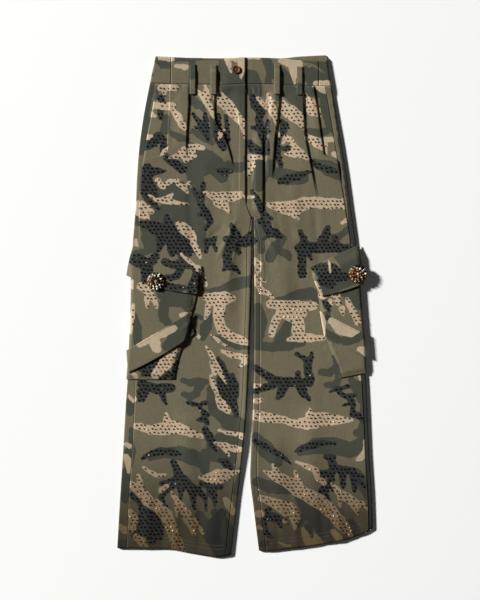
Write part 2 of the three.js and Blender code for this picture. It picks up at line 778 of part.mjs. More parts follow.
addPiece("waistband_back", bandBack(), TWILL);
for (const [side, word] of [
  [RIGHT, "right"],
  [LEFT, "left"],
]) {
  addPiece(`back_panel_${word}`, backPanel(side), TWILL);
  addPiece(`front_panel_${word}`, frontPanel(side), TWILL);
  addPiece(`pocket_facing_${word}`, pocketFacing(side), TWILL);
  addPiece(`waistband_front_${word}`, bandFront(side), TWILL);
  addPiece(`cargo_pocket_${word}`, cargoPocket(side), TWILL);
  addPiece(`pocket_flap_${word}`, cover(side, FLAPS[side], true), TWILL);
  addPiece(`pocket_strap_${word}`, cover(side, STRAPS[side], false), PLAIN_TWILL);

  const { out, y } = BROOCHES[side];
  const flapTop =
    topAt(side, 200, y) + CLOTH * 1.5 + LAYER_GAP * 2 + POCKET_RISE + DOUBLE_CLOTH + 0.4;
  addPiece(`brooch_${word}`, brooch(), CRYSTAL).position.set(side * out, y, flapTop + LAYER_GAP);
}
for (const { name, side, out } of LOOPS) {
  addPiece(name, beltLoop(side, out), TWILL);
}
addPiece("waist_button", waistButton(), BRASS).position.set(
  BUTTON.x,
  BUTTON.y,
  TOP_Z + BAND_RISE + BAND_LAP_RISE + BAND_CLOTH / 2 + LAYER_GAP,
);

export default group;
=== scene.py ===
# Wide-leg cargo trousers in camouflage twill, laid face up. The scene is in metres, +Z up and
# +Y to the waist, and the wearer's right leg is at -X. Tables and shapes are in millimetres.
import math
import random

import bmesh
import bpy
import numpy as np
from mathutils import Matrix, Vector
from mathutils.bvhtree import BVHTree


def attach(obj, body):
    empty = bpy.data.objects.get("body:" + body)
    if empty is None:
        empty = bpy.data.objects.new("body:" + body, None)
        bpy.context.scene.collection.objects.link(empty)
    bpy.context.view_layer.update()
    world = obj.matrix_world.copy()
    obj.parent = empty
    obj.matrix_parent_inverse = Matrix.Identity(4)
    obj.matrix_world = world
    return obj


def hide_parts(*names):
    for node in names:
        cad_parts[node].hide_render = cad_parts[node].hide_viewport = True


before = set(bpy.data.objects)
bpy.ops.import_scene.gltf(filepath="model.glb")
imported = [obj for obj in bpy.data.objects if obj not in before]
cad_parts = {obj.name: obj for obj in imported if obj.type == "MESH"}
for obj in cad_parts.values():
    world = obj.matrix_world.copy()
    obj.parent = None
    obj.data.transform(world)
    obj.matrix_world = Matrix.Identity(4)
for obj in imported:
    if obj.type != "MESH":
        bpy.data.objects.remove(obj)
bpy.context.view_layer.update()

# The white table that the trousers lie on, with the studio's light over their waist end and a
# camera straight above. The photograph is 480 by 600, and one of its pixels is 2.15 mm.
MM = 0.001
PIXEL = 2.15
PHOTO_HEIGHT = 600
PHOTO_MIDDLE = (-10.75, 12.9)
LENS, SENSOR = 85, 36
CLOTH_TOP = 6

camera_data = bpy.data.cameras.new("camera")
camera_data.lens = LENS
camera_data.sensor_width = SENSOR
camera = bpy.data.objects.new("camera", camera_data)
camera_height = PHOTO_HEIGHT * PIXEL * LENS / SENSOR + CLOTH_TOP
camera.location = Vector((*PHOTO_MIDDLE, camera_height)) * MM
bpy.context.scene.collection.objects.link(camera)
bpy.context.scene.camera = camera
bpy.context.scene.view_settings.view_transform = "Standard"

table_bm = bmesh.new()
bmesh.ops.create_grid(table_bm, x_segments=1, y_segments=1, size=6)
table_mesh = bpy.data.meshes.new("table_top")
table_bm.to_mesh(table_mesh)
table_bm.free()
table_top = bpy.data.objects.new("table_top", table_mesh)
table_top.location.z = -0.0005
bpy.context.scene.collection.objects.link(table_top)
table_paint = bpy.data.materials.new("white_table")
table_paint.use_nodes = True
table_shader = table_paint.node_tree.nodes["Principled BSDF"]
table_shader.inputs["Base Color"].default_value = (0.97, 0.975, 0.97, 1)
table_shader.inputs["Roughness"].default_value = 0.95
table_top.data.materials.append(table_paint)

world = bpy.data.worlds.new("studio")
world.use_nodes = True
world.node_tree.nodes["Background"].inputs["Color"].default_value = (0.95, 0.975, 1, 1)
world.node_tree.nodes["Background"].inputs["Strength"].default_value = 0.04
bpy.context.scene.world = world
for name, place, size, watts, colour in (
    ("key", (-24, 10.5, 11.6), 3.2, 18500, (1, 0.992, 0.975)),
    ("fill", (1.6, -1.6, 3.4), 1.8, 2, (0.96, 0.985, 1)),
):
    lamp_data = bpy.data.lights.new(name, "AREA")
    lamp_data.size = size
    lamp_data.energy = watts
    lamp_data.color = colour
    lamp = bpy.data.objects.new(name, lamp_data)
    lamp.location = place
    lamp.rotation_euler = Vector(place).to_track_quat("Z", "Y").to_euler()
    bpy.context.scene.collection.objects.link(lamp)

# Front panels: one layer of twill from the slanted pocket mouth and the outseam to the centre
# seam and the inseam, with knife pleats pressed from the waistband and the fly lapping over.
RIGHT, LEFT = -1, 1
SIDES = ((RIGHT, "right"), (LEFT, "left"))
CLOTH = 1.2
LEG_HEIGHT = 4.8
SEAM_GAP = 0.06
LAYER_GAP = 0.45
CENTRE_SEAM = 1
CROTCH_X, CROTCH_Y, RISE_CURVE_Y = 17, 188, 242
BAND_TOP_Y, WAIST_SEAM_Y, HEM_ROW_Y = 536, 478, -522
PANEL_TOP_Y = WAIST_SEAM_Y - 0.04
FLOOR_Z = CLOTH / 2
TOP_Z = LEG_HEIGHT - CLOTH / 2
EDGE_R = (TOP_Z - FLOOR_Z) / 2
# y, outer folded edge, outseam
OUTLINE = {
    RIGHT: (
        (536, 192.4, 183.8), (476, 205.3, 190.5), (411, 217.8, 202), (347, 226.8, 214),
        (282, 232.2, 223), (218, 235, 228), (121, 242, 229.5), (-8, 243.8, 232.2),
        (-73, 246.5, 233.3), (-202, 256, 237), (-331, 263.6, 243.6), (-427, 269.6, 250.5),
        (-522, 275, 254),
    ),
    LEFT: (
        (536, 176.5, 163), (476, 186, 173), (411, 196.7, 183.8), (347, 208, 194.5),
        (282, 218.2, 205.5), (218, 227, 216), (121, 239.7, 230), (-8, 249.4, 241),
        (-73, 254.5, 246), (-202, 262.3, 255), (-331, 267.7, 260.5), (-427, 272.3, 265.3),
        (-522, 275, 268),
    ),
}
# y, inner folded edge, how far the inseam lies from it
INNER = {
    RIGHT: (
        (190, -16, 11), (56, -15, 11), (-73, -10.8, 11), (-202, -5.4, 11), (-331, 6.9, 12),
        (-395, 14.6, 12), (-522, 30, 12),
    ),
    LEFT: (
        (190, 19.6, 12), (-73, 20.4, 12), (-202, 17.8, 13), (-331, 12, 14), (-363, 11, 15),
        (-427, 18, 16), (-522, 30, 16),
    ),
}
# x, y of the waist's cut edge, and distance out, y of each hem
WAIST_FRONT = (
    (-192, 536.5), (-150, 534.5), (-98, 532.5), (-50, 531.5), (0, 534.5), (74, 532.4),
    (121, 527.6), (176, 526.5),
)
WAIST_BACK = ((-192, 537.5), (-98, 534), (0, 534.5), (74, 533), (117, 537), (176, 540))
HEM = {
    RIGHT: ((275, -521), (167, -522), (130, -528.5), (87, -536), (59, -540), (30, -535)),
    LEFT: (
        (30, -526.4), (53, -527), (96, -522), (128, -518.5), (171, -512), (210, -504.5),
        (246, -493), (271, -480), (275, -474),
    ),
}
HEM_EASE, WAIST_EASE = 240, 130


def smooth(t):
    t = np.clip(t, 0, 1)
    return t * t * (3 - 2 * t)


def ramp(value, start, end):
    return smooth((value - start) / (end - start))


def mix(a, b, t):
    return a + (b - a) * t


def eased(rows, column, at):
    """A table's column at places along its first column, on a smooth curve."""
    rows = np.array(sorted(rows), float)
    key, value = rows[:, 0], rows[:, column]
    slope = np.diff(value) / np.diff(key)
    product, total = slope[:-1] * slope[1:], slope[:-1] + slope[1:]
    inside = np.where(product > 0, 2 * product / np.where(total == 0, 1, total), 0)
    tangent = np.concatenate((slope[:1], inside, slope[-1:]))
    at = np.clip(at, key[0], key[-1])
    i = np.clip(np.searchsorted(key, at, side="right") - 1, 0, len(key) - 2)
    span = key[i + 1] - key[i]
    t = (at - key[i]) / span
    ends = value[i] * (1 + 2 * t) * (1 - t) ** 2 + value[i + 1] * t * t * (3 - 2 * t)
    return ends + span * (tangent[i] * t * (1 - t) ** 2 - tangent[i + 1] * t * t * (1 - t))


def outer_edge(side, y):
    return eased(OUTLINE[side], 1, y) - CLOTH / 2


def outseam(side, y):
    return eased(OUTLINE[side], 2, y)


def inner_edge(side, y):
    return eased(INNER[side], 1, y) + CLOTH / 2


def inseam(side, y):
    """The seam runs out to the folded edge at the crotch."""
    inset = eased(INNER[side], 2, y)
    return eased(INNER[side], 1, y) + mix(3, inset, ramp(y, CROTCH_Y, CROTCH_Y - 60))


def centre_seam(side, y):
    """The centre seam, which curves from the middle line to the crotch."""
    curve = np.clip((RISE_CURVE_Y - y) / (RISE_CURVE_Y - CROTCH_Y), 0, 1) ** 2
    return side * mix(CENTRE_SEAM, CROTCH_X, curve) + SEAM_GAP / 2


def bent_y(side, out, y, on_top):
    """Where a point of a straight row lies, once the waist and the hem are cut in a curve."""
    waist = mix(eased(WAIST_BACK, 1, side * out), eased(WAIST_FRONT, 1, side * out), on_top)
    hem = eased(HEM[side], 1, out) - HEM_ROW_Y
    bend = hem * ramp(y, HEM_ROW_Y + HEM_EASE, HEM_ROW_Y)
    return y + bend + (waist - BAND_TOP_Y) * ramp(y, BAND_TOP_Y - WAIST_EASE, BAND_TOP_Y)


def piecewise(stations, marks, u, ease=False):
    """The marks' values spread over the stations of u, and shared evenly between them."""
    value = marks[0] + 0 * u
    for k in range(len(stations) - 1):
        t = np.clip((u - stations[k]) / (stations[k + 1] - stations[k]), 0, 1)
        part = mix(marks[k], marks[k + 1], smooth(t) if ease else t)
        value = np.where(u >= stations[k], part, value)
    return value

# The print on the legs: patches of four colours laid over olive, the later over the earlier.
# Each line is one stroke as x, y and half its width, in pixels of the photograph.
LEG_PRINT_AND_SHADE = {
    # Three of the green strokes are painted shade: the first, beside the left inner belt loop at the
    # waist; the column beside the left leg's inner edge just below the crotch; and the line along
    # the left cargo pocket's inner edge.
    "green": """
278 84 4  279 98 3.5
249 84 3  250 95 2.5
285 88 7  292 94 8  300 104 7  303 118 3
305 84 5  309 93 5
222 84 4  229 86 8  235 95 8  241 105 5  243 118 2.5
326 92 5  329 104 6  331 124 6
192 84 3.5  193 100 3
226 84 7  232 92 7  239 100 6  243 110 4  244 118 2
154 88 3.5  156 97 3.5
166 118 4  165 130 5
192 100 4  197 107 3
213 112 3  214 124 4  213 136 3
223 77 5  238 79 6  240 92 5  240 110 4
192 98 4  198 104 4  204 110 3
193 131 3  203 137 4  212 143 3
193 152 6  200 162 8  205 170 6
190 165 8  196 178 8  200 190 6
156 80 3  168 83 3
172 134 3  180 138 3.5  188 139 2
190 145 3  200 152 5  208 158 8  216 166 9  222 176 7
228 166 5  238 168 5  246 165 4
150 190 9  165 192 11  180 190 9  190 200 9  196 215 8  199 235 7  198 250 5
175 207 12  163 217 10  148 228 8
184 225 13  150 238 9  152 248 8
202 288 1.5  211 291 2  222 290 4.5  236 284 6  251 281 6
195 315 2  201 318 2.5
210 316 3  206 327 6  203 337 4
213 337 2.5  225 341 4.5  238 346 4  250 347 3
183 380 3  190 383 4  199 381 4  206 382 3
200 385 5  196 394 4  190 397 4  183 394 2.5
210 388 3  211 400 4.5  214 412 5
219 415 5  228 422 8  238 426 9  244 440 8  234 446 8  221 440 7  211 445 5
150 458 3.5  165 453 5  180 453 7  192 457 8  203 462 7  206 473 4
205 454 5  218 456 7  230 458 7
200 516 5  208 530 8  216 541 9  226 551 6
215 512 4  222 524 8  231 539 7
242 470 4  240 482 5  236 492 4
127 430 4  132 452 4  130 466 3
257 84 5.5  259 94 3.5
285 84 5  289 91 6  295 98 4
309 84 5  314 88 6  318 94 4
309 131 3  318 133 4  327 131 4
325 103 6  331 115 9  337 130 6.5  343 145 4
247 158 4  258 158 5.5  262 174 7.5  258 186 6
270 163 4  272 172 5  288 177 8  303 178 6
314 162 4  328 168 8  343 174 7  347 186 4
332 240 4  340 236 3.5  347 230 3  352 226 3
340 250 4  350 248 5  357 250 4
258 222 4  260 235 5  261 250 4
283 238 4  276 247 6  270 258 5
281 252 4  288 255 4  290 259 2
268 300 1.5  285 299 4  300 295 6  312 293 6  318 300 4
258 308 5  261 322 6  258 336 6
288 325 5  283 335 6  278 344 6
257 345 5  272 347 4.5  288 346 5  303 343 3
321 372 3.5  330 373 4  335 368 3
333 356 1.5  336 365 2  339 376 4  336 385 4  326 385 3
352 380 4  358 388 6  362 400 5
364 400 4  365 415 4.5  363 430 5.5  357 433 4
300 452 4  315 446 8  332 446 9  350 450 8  364 443 7
256 437 5  266 450 9  277 461 6
257 482 5  270 487 6.5  290 490 4.5
300 498 5  309 508 9  321 522 10  330 532 5
302 517 4  298 526 2.5
308 528 4  313 536 2
322 532 5  330 540 4
356 472 4  364 484 7  369 498 4
351 523 4  356 531 5
258 545 3  266 543 4
""",
    "black": """
166 216 2.5  168 224 5  172 234 7  180 243 9  185 250 8  184 256 5.5
141 223.5 3.5  153 224.5 3.5  164 227 4
166 236 6  162 243 4  159 250 2.5
172 240 6  173 249 6  172 254 3
161 98 3.5  163 104 4  160 112 3  161 118 3
193 114 2  199 122 2.5  205 130 3.5  208 140 2.5
205 114 2.5  206 121 3  206 130 3.5
195 127 1.5  201 129 2.5  206 131 3
218 116 3  217 126 4  219 140 5  224 148 3.5
226 116 2  227 128 2.5  226 140 4
144 146 4.5  151 144 5  158 138 6  164 140 3.5
164 145 4  163 153 3.5  169 160 4  177 165 4  182 171 3
180 166 3  187 170 1.5
147 168 5  146 178 6.5  146 190 6.5  151 201 5  159 209 2
150 172 5  158 171 3.5  165 171 1.5
148 185 7  156 196 3
218 170 2.5  224 172 4.5  231 171 2.5
203 184 2.5  202 194 3.5  201 204 3  206 212 4  210 222 3.5  206 229 2
193 188 2  198 197 3  201 204 3
199 215 2.5  206 213 3.5
140 223 2  148 227 3.5  157 231 5  165 234 6
167 217 2  166 226 4  165 234 6  176 240 5.5  190 243 3
160 237 4  158 245 2
177 240 6  182 250 6  186 260 3
206 240 2.5  212 241 3  216 237 2
207 243 3  206 251 2.5
213 243 2.5  216 251 2
231 224 2  234 231 4  238 238 4.5
226 239 3.5  234 241 5.5  244 242 5.5  252 241 5
246 238 3  252 231 1.5
230 246 5  227 256 4.5  228 266 4.5  223 270 1.5
228 266 4  234 268 3  239 272 2.5
237 247 4  239 253 2
141 384 4  149 387 5  160 389 5.5  171 388 4.5
140 392 4  139 400 2
146 390 3.5  143 401 1.5
162 393 4  166 404 1.5
218 358 2  223 367 3.5  226 377 5  229 390 7  233 405 5.5  237 416 2
219 378 2.5  221 388 4  226 396 5
232 374 2  236 385 3  236 396 3.5
187 402 1.5  193 404 2.8  199 405 2.2  206 403 2.2
199 406 2  203 412 3  208 415 2.5
197 420 1.5  204 419 3.5  208 424 2
205 429 3  209 437 4.5  213 446 3.5  216 451 1.5
142 459 1.5  151 454 3.5  161 451 4  172 452 3.5  181 454 1.5
173 462 3  177 470 4  180 479 5.5  170 483 4  161 483 2.5
174 483 4.5  166 491 3.5  161 498 2.5  166 507 2
180 481 5  181 490 3.5  181 499 2
184 480 5  190 488 4.5  193 498 3  194 508 2
190 486 4  199 491 3.5  205 498 2.5  206 511 1.5
202 483 3  210 486 5  219 486 4
211 489 5.5  214 498 3.5  215 506 1.2
220 460 2.5  226 463 4.5  231 468 3
132 495 3  141 502 5  147 512 7  152 522 9  157 530 7  160 538 4
146 520 9  140 530 6  133 536 2
144 530 6  146 540 4  145 548 2
151 532 6  153 541 4
252 97 3.5  256 104 5.5  261 111 5.5  259 119 4  261 130 4.5  265 142 4.5  267 152 3.5
268 121 2.5  267 132 3
252 127 2  258 129 3
250 143 3.5  254 149 5  261 151 3.5
281 121 2.5  285 126 4.5  283 133 3.5
279 134 3.5  277 145 3.5  278 156 3.5  281 166 2.5
284 149 2.5  291 147 3
311 161 2  319 166 3.5  327 169 3.5  335 171 2.5
280 181 3  288 179 4.5  298 176 4  309 172 2
252 191 2  256 198 3  260 206 3.5  264 215 3.5  272 218 2
261 221 3.5  267 224 4.5  268 230 4  276 234 5  281 236 3.5
264 239 2  270 234 3
300 231 2  303 238 3.5  306 245 4.5
328 228 3  326 234 4.5  322 241 5
334 237 3  336 242 3.5
298 248 4  310 248 5.5  324 247 6  338 247 5  350 248 2.5
302 246 5  302 262 4.5  302 274 4.5
308 252 4  311 259 2
297 354 2.5  303 357 2  308 361 4.5  308 372 4  310 380 5
312 353 2  309 362 3.5
256 368 3.5  264 374 4  273 380 4.5  285 382 5  298 382 5  310 383 4
298 373 3  298 380 3
255 391 3  264 388 3.5  273 385 4
284 387 5  281 393 4.5  278 398 2.5
301 388 5  304 394 4  309 399 2
330 392 1.5  337 389 3  343 388 2.5  348 386 2.5
339 392 2.5  345 396 2.5  352 396 2.5  355 395 2
348 398 2.5  352 402 4  355 405 2
343 406 1.5  350 403 2
353 408 2  353 414 3.5  359 416 3.5  364 422 2.5
255 441 2.5  262 445 3.5  271 450 3  280 455 2.8  287 460 1.8  291 464 1
294 453 1  302 448 2.8  312 445 3.6  323 443 3  335 443 1.5
325 457 2.5  331 458 4  335 457 2
332 462 4.5  334 469 4.5  328 473 3.5  320 474 4  320 478 2.5
332 473 3.5  330 482 4  323 491 4.5  326 497 3.5  329 500 2
331 485 3.5  333 491 1.5
340 469 4  343 476 4  343 487 2
345 470 4.5  352 471 4  354 481 3.5  355 491 2.2
352 474 3.5  359 476 2.5  364 476 1
354 478 3  360 482 2.5  366 487 2
272 505 1.2  268 510 2.5  265 515 4  272 517 5  280 520 4  281 526 2.5
265 516 4  264 526 3  267 534 3.5  272 538 2
""",
    "beige": """
203 278 2.5  205 285 2.5
161 88 3.5  175 88 3.5
164 89 4  165 95 1.5
162 106 3.5  172 106 4
173 111 2.5  178 117 4  183 126 3  186 131 1
196 90 1.5  203 97 3  209 106 3.5  214 118 1.5
205 84 1.2  206 92 3  207 98 4
219 98 6  228 106 6  236 116 4.5  243 123 4  245 138 1.5
219 139 1.5  221 133 2.5  224 130 1.5
169 158 1.2  176 156 2.5  184 153 6  190 150 6  196 147 3.5  203 148 2
186 160 2.5  194 156 3
161 155 1.5  164 152 2  168 147 1
158 181 3.5  163 186 3  170 181 2.5  177 181 2.5
178 184 2  184 187 2.5  189 183 2
184 187 2.5  187 192 1.5
149 195 1  156 200 2  163 200 3  169 197 2.5  172 194 1
163 200 3  172 202 2.5  180 203 1.5  189 204 1
141 204 3  147 209 5  152 212 2
140 214 4  147 217 2.5  150 219 1
204 192 1.5  212 196 4  222 197 5.5  232 196 5  241 195 4  247 197 2
217 202 4.5  224 205 4.5  229 213 1.2
178 224 3  183 228 5.5  189 233 5.5  194 239 3
192 243 2.5  197 249 3  200 257 1.5
181 254 1.2  190 262 2  197 268 2.5  202 275 2.5  206 286 1.2
205 297 3.5  214 299 6.5  225 298 6.5  233 298 3
219 304 6  219 318 5.5  221 330 5  232 337 5  243 341 4  250 344 2
208 306 3  207 313 2.5  205 319 1
210 334 1  219 341 2  228 347 1
206 347 1.2  211 354 2.2  216 364 2  221 374 2.2  227 384 1
222 351 1.5  232 355 3  243 357 3  249 358 3
239 367 1.2  244 363 2.5  249 360 3
210 362 1  213 368 2.2  215 374 1.8
211 376 1.5  213 384 2.6  216 391 2.2  218 397 2
136 426 3.5  150 430 4.5  162 429 6  174 427 6.5  186 431 4.5  196 435 3  204 437 1.2
167 420 4  166 414 1.5
218 399 3  222 405 5  228 411 3.2
219 430 1.2  228 433 2  237 434 2.2  245 437 3.5
215 443 1.5  225 446 3.5  236 449 3.5  243 450 2
225 448 3  229 456 1.2
143 467 1  150 472 2  158 476 2  165 475 1.5
161 490 2.5  167 486 2
199 477 1.2  208 478 4.5  217 477 7.5  226 475 5.5  234 473 2.5  240 471 1
131 484 3  139 491 5  148 500 6  158 507 6  166 515 6  171 527 6  176 540 6  180 552 6
138 476 2  141 487 3
130 512 3  134 520 4.5  132 529 3.5
136 537 3  142 542 4  147 547 2
171 492 1.5  178 502 3  186 514 5.5  194 534 2
176 501 2  177 517 1
195 521 3  203 533 1.5
304 94 1.5  307 100 4  311 106 7  314 110 6.5  320 116 2
281 98 1.5  283 107 5.5  290 112 7  297 117 6.5  302 124 4.5  304 129 1.5
268 94 1  270 102 4.5  273 111 4.5  276 119 3  277 126 1
258 98 2  262 103 2.5  266 108 2
283 143 1.5  286 137 2.5  290 140 3  294 147 3.5  301 154 4  308 159 1.5
285 154 1.5  293 154 3.5  300 155 3
277 131 1.2  279 136 1.5
308 138 3.5  316 142 5  323 146 4.5  327 153 1.2
250 157 3.5  251 166 4.5  248 175 1.2
255 157 2.5  263 158 2
265 204 1.5  275 206 4  285 208 7  294 209 8  304 203 6  316 202 5.5  330 204 5.5  346 204 5.5
293 212 5  298 219 1.5
256 259 2  258 264 3.5  258 271 2.5
256 276 2  258 284 3  261 290 3.5  267 293 3  274 298 1
260 279 2  266 282 1
270 304 4  283 305 5  298 306 5.5  314 306 4
280 313 4.5  291 314 7.5  302 313 5.5
277 318 4.5  274 326 4  271 335 3
298 321 6  298 330 6.5  301 337 5
288 340 1.5  299 338 4.5  311 338 4  325 338 2
256 401 3  261 400 2  265 399 1
255 386 2.5  260 385 1.5
254 415 5.5  270 418 4.8  284 420 3.6  296 424 4  307 423 6.5  315 420 8
315 420 8  324 419 7  336 420 5  352 420 1.8
309 415 4  310 409 1.5
296 462 1.2  306 466 2.5  315 470 3.5  318 478 3  324 483 3
264 471 1  270 474 3  278 477 5  287 482 6  296 489 6.5  308 496 6.5  320 502 7  330 511 6.5
330 511 6.5  340 522 6  347 531 4.5  353 538 1.5
273 465 1.5  277 473 3
295 471 1.2  297 478 2.5  300 487 4
332 484 1.5  337 490 3  344 496 4.5  352 501 5  358 505 3.5
356 502 3  362 503 2.5  367 509 1.2
354 506 3.5  358 514 1.2
339 493 2.5  340 506 1.2
261 498 3  269 501 4  279 505 5.5  289 510 8  295 516 6  295 528 1.5
284 521 2.5  287 523 1.5
""",
    "plain black": """
222 512 4  214 524 6  212 536 7  220 548 9  228 552 6
""",
    "plain beige": """
149 105 3.5  157 105 3.5
149 113 3.5  155 116 2
144 136 2.5  148 137 2.5  152 136 1.5
129 400 3  134 399 3
225 499 2.5  229 505 4  233 512 3
315 85 3.5  323 87 5.5  328 89 5.5
324 140 2.5  331 139 2.5  339 141 2
334 154 3  341 156 3.5
249 197 1.2  254 197 1.5
342 223 1.5  350 218 3
361 377 3.5  364 379 2.5
303 529 2  306 536 4  308 545 3
314 533 1  317 540 4  323 547 3
307 540 4  316 545 4
258 514 3.5  261 514 3.5
259 527 2.5  262 529 2
278 542 1.2  284 545 1.8  290 546 1.2
366 442 2.5  366 450 3.5  361 458 3  357 460 1.5
333 532 3  339 538 3.5  341 543 2
196 334 2  199 337 2
""",
}


PHOTO_ORIGIN = (245, 306)
PRINT_FILLET = 1.5


def depth_in(print_lines, x, y):
    """How far places lie inside a print's strokes in mm, below zero outside them."""
    depth = np.full(len(x), -40.0)
    for line in print_lines.strip().splitlines():
        points = np.array(line.split(), float).reshape(-1, 3) * PIXEL
        points[:, 0] -= PHOTO_ORIGIN[0] * PIXEL
        points[:, 1] = PHOTO_ORIGIN[1] * PIXEL - points[:, 1]
        for (x0, y0, w0), (x1, y1, w1) in zip(points, points[1:]):
            along = (x - x0) * (x1 - x0) + (y - y0) * (y1 - y0)
            t = np.clip(along / ((x1 - x0) ** 2 + (y1 - y0) ** 2), 0, 1)
            here = mix(w0, w1, t) - np.hypot(x - mix(x0, x1, t), y - mix(y0, y1, t))
            share = np.clip(0.5 + 0.5 * (here - depth) / PRINT_FILLET, 0, 1)
            depth = mix(depth, here, share) + PRINT_FILLET * share * (1 - share)
    return depth


def print_depths(table, x, y):
    """Depths of a print's colours, with the patches that carry no stones counted in."""
    return {
        colour: np.maximum(
            depth_in(table.get(colour, ""), x, y), depth_in(table.get(f"plain {colour}", ""), x, y)
        )
        for colour in ("green", "black", "beige")
    }


def points_of(mesh):
    flat = np.zeros(3 * len(mesh.vertices), np.float32)
    mesh.vertices.foreach_get("co", flat)
    return flat.reshape(-1, 3).astype(float).T / MM


def dye(piece, depths):
    """Keeps the depth of each colour of the print on the piece's points, with the strokes of painted
    shade laid in the same colours.
    """
    for colour, depth in depths.items():
        layer = piece.data.attributes.new(colour, "FLOAT", "POINT")
        layer.data.foreach_set("value", depth.astype(np.float32))


class Wire:
    """An output in a finish's nodes. Sums and products of wires add Math nodes."""

    def __init__(self, finish, socket):
        self.finish, self.socket = finish, socket

    def maths(self, operation, a, b, clamp=False):
        settings = {"operation": operation, "use_clamp": clamp}
        return self.finish.node("ShaderNodeMath", settings, {0: a, 1: b})

    def __add__(self, other):
        return self.maths("ADD", self, other)

    def __sub__(self, other):
        return self.maths("SUBTRACT", self, other)

    def __rsub__(self, other):
        return self.maths("SUBTRACT", other, self)

    def __mul__(self, other):
        return self.maths("MULTIPLY", self, other)

    def __truediv__(self, other):
        return self.maths("DIVIDE", self, other)

    __radd__, __rmul__ = __add__, __mul__

    def clamped(self):
        return self.maths("ADD", self, 0, clamp=True)


class Finish:
    """A material, with its constants on the shader and its pattern in nodes."""

    def __init__(self, name, constants):
        self.material = bpy.data.materials.new(name)
        self.material.use_nodes = True
        self.tree = self.material.node_tree
        self.shader = self.tree.nodes["Principled BSDF"]
        for socket, value in constants.items():
            self.shader.inputs[socket].default_value = value

    def node(self, kind, settings, inputs, output=0):
        made = self.tree.nodes.new(kind)
        for name, value in settings.items():
            if name == "stops":
                for stop in value[2:]:
                    made.color_ramp.elements.new(stop[0])
                for element, (position, colour) in zip(made.color_ramp.elements, value):
                    element.position, element.color = position, colour
            else:
                setattr(made, name, value)
        for socket, value in inputs.items():
            if isinstance(value, Wire):
                self.tree.links.new(value.socket, made.inputs[socket])
            else:
                made.inputs[socket].default_value = value
        return Wire(self, made.outputs[output])

    def noise(self, at, scale, detail=2):
        return self.node("ShaderNodeTexNoise", {}, {"Vector": at, "Scale": scale, "Detail": detail})

    def blend(self, factor, below, above):
        inputs = {0: factor, 6: below, 7: above}
        return self.node("ShaderNodeMix", {"data_type": "RGBA"}, inputs, 2)

    def scaled(self, colour, factor):
        return self.node("ShaderNodeVectorMath", {"operation": "SCALE"}, {0: colour, 3: factor})

    def feed(self, socket, wire):
        self.tree.links.new(wire.socket, self.shader.inputs[socket])

    def bump(self, height):
        """Raises the surface by a height in metres."""
        inputs = {"Height": height, "Distance": 1.0, "Strength": 1.0}
        self.feed("Normal", self.node("ShaderNodeBump", {}, inputs))


WHITE = (1, 1, 1, 1)


def dyed(red, green, blue):
    """A colour of the photograph, from 0 to 255, as the shader takes it."""
    return (*(((c / 255 + 0.055) / 1.055) ** 2.4 for c in (red, green, blue)), 1)


OLIVE, GREEN, BLACK, BEIGE = (
    dyed(104, 97, 74), dyed(61, 63, 50), dyed(36, 39, 35), dyed(182, 163, 137),
)
HEM_SHADE_AND_DUST = (0.2, 0.17, 0.08, 1)  # painted shade and some dust at the hems, darker and browner towards them: what is left of the colours there


def camouflage_twill():
    """Cotton twill with steep fine ribs, slubbed yarn, a print with ragged edges, and painted shade
    towards the hems.
    """
    twill = Finish("camouflage_twill", {"Roughness": 0.9, "Sheen Weight": 0.05})
    at = twill.node("ShaderNodeTexCoord", {}, {}, "Object")
    ragged = (twill.noise(at, 60) - 0.5) * 7 + (twill.noise(at, 260) - 0.5) * 3
    colour = OLIVE
    for name, patch_colour in (("green", GREEN), ("black", BLACK), ("beige", BEIGE)):
        depth = twill.node("ShaderNodeAttribute", {"attribute_name": name}, {}, "Fac")
        mask = ((depth + ragged) * 1.1 + 0.5).clamped()
        colour = twill.blend(mask, colour, patch_colour)
    yarn_at = twill.node(
        "ShaderNodeMapping", {}, {"Vector": at, "Scale": (1, 0.06, 1), "Rotation": (0, 0, 0.1)}
    )
    slub = twill.noise(yarn_at, 700, 3)
    fade = twill.noise(at, 9, 3)
    mottle = twill.noise(at, 210, 3)
    speckle = twill.noise(at, 1500, 1)
    shade = 0.36 + slub * 0.4 + fade * 0.34 + mottle * 0.38 + speckle * 0.16
    # Painted shade: the colours get darker and browner towards the hems, standing for the light
    # falling off there, with some dust as well.
    down = twill.node("ShaderNodeSeparateXYZ", {}, {0: at}, 1)
    hem_range = {"Value": down, "From Min": -0.24, "From Max": -0.52}
    low = twill.node("ShaderNodeMapRange", {"interpolation_type": "SMOOTHSTEP"}, hem_range)
    hem_shade_and_dust = twill.blend((low + (twill.noise(at, 14) - 0.5) * 0.3).clamped(), WHITE, HEM_SHADE_AND_DUST)
    colour_with_hem_shade = twill.node("ShaderNodeVectorMath", {"operation": "MULTIPLY"}, {0: colour, 1: hem_shade_and_dust})
    twill.feed("Base Color", twill.scaled(colour_with_hem_shade, shade))
    rib_at = twill.node(
        "ShaderNodeMapping", {}, {"Vector": at, "Rotation": (0, 0, math.radians(28))}
    )
    rib_inputs = {"Vector": rib_at, "Scale": 230, "Distortion": 0.8, "Detail": 1}
    rib = twill.node("ShaderNodeTexWave", {"bands_direction": "X"}, rib_inputs, 1)
    crumple = twill.noise(at, 34, 3)
    twill.bump(rib * (0.1 * MM) + slub * (0.14 * MM) + crumple * (0.8 * MM))
    twill.feed("Roughness", 0.8 + slub * 0.2)
    return twill.material


TWILL = camouflage_twill()


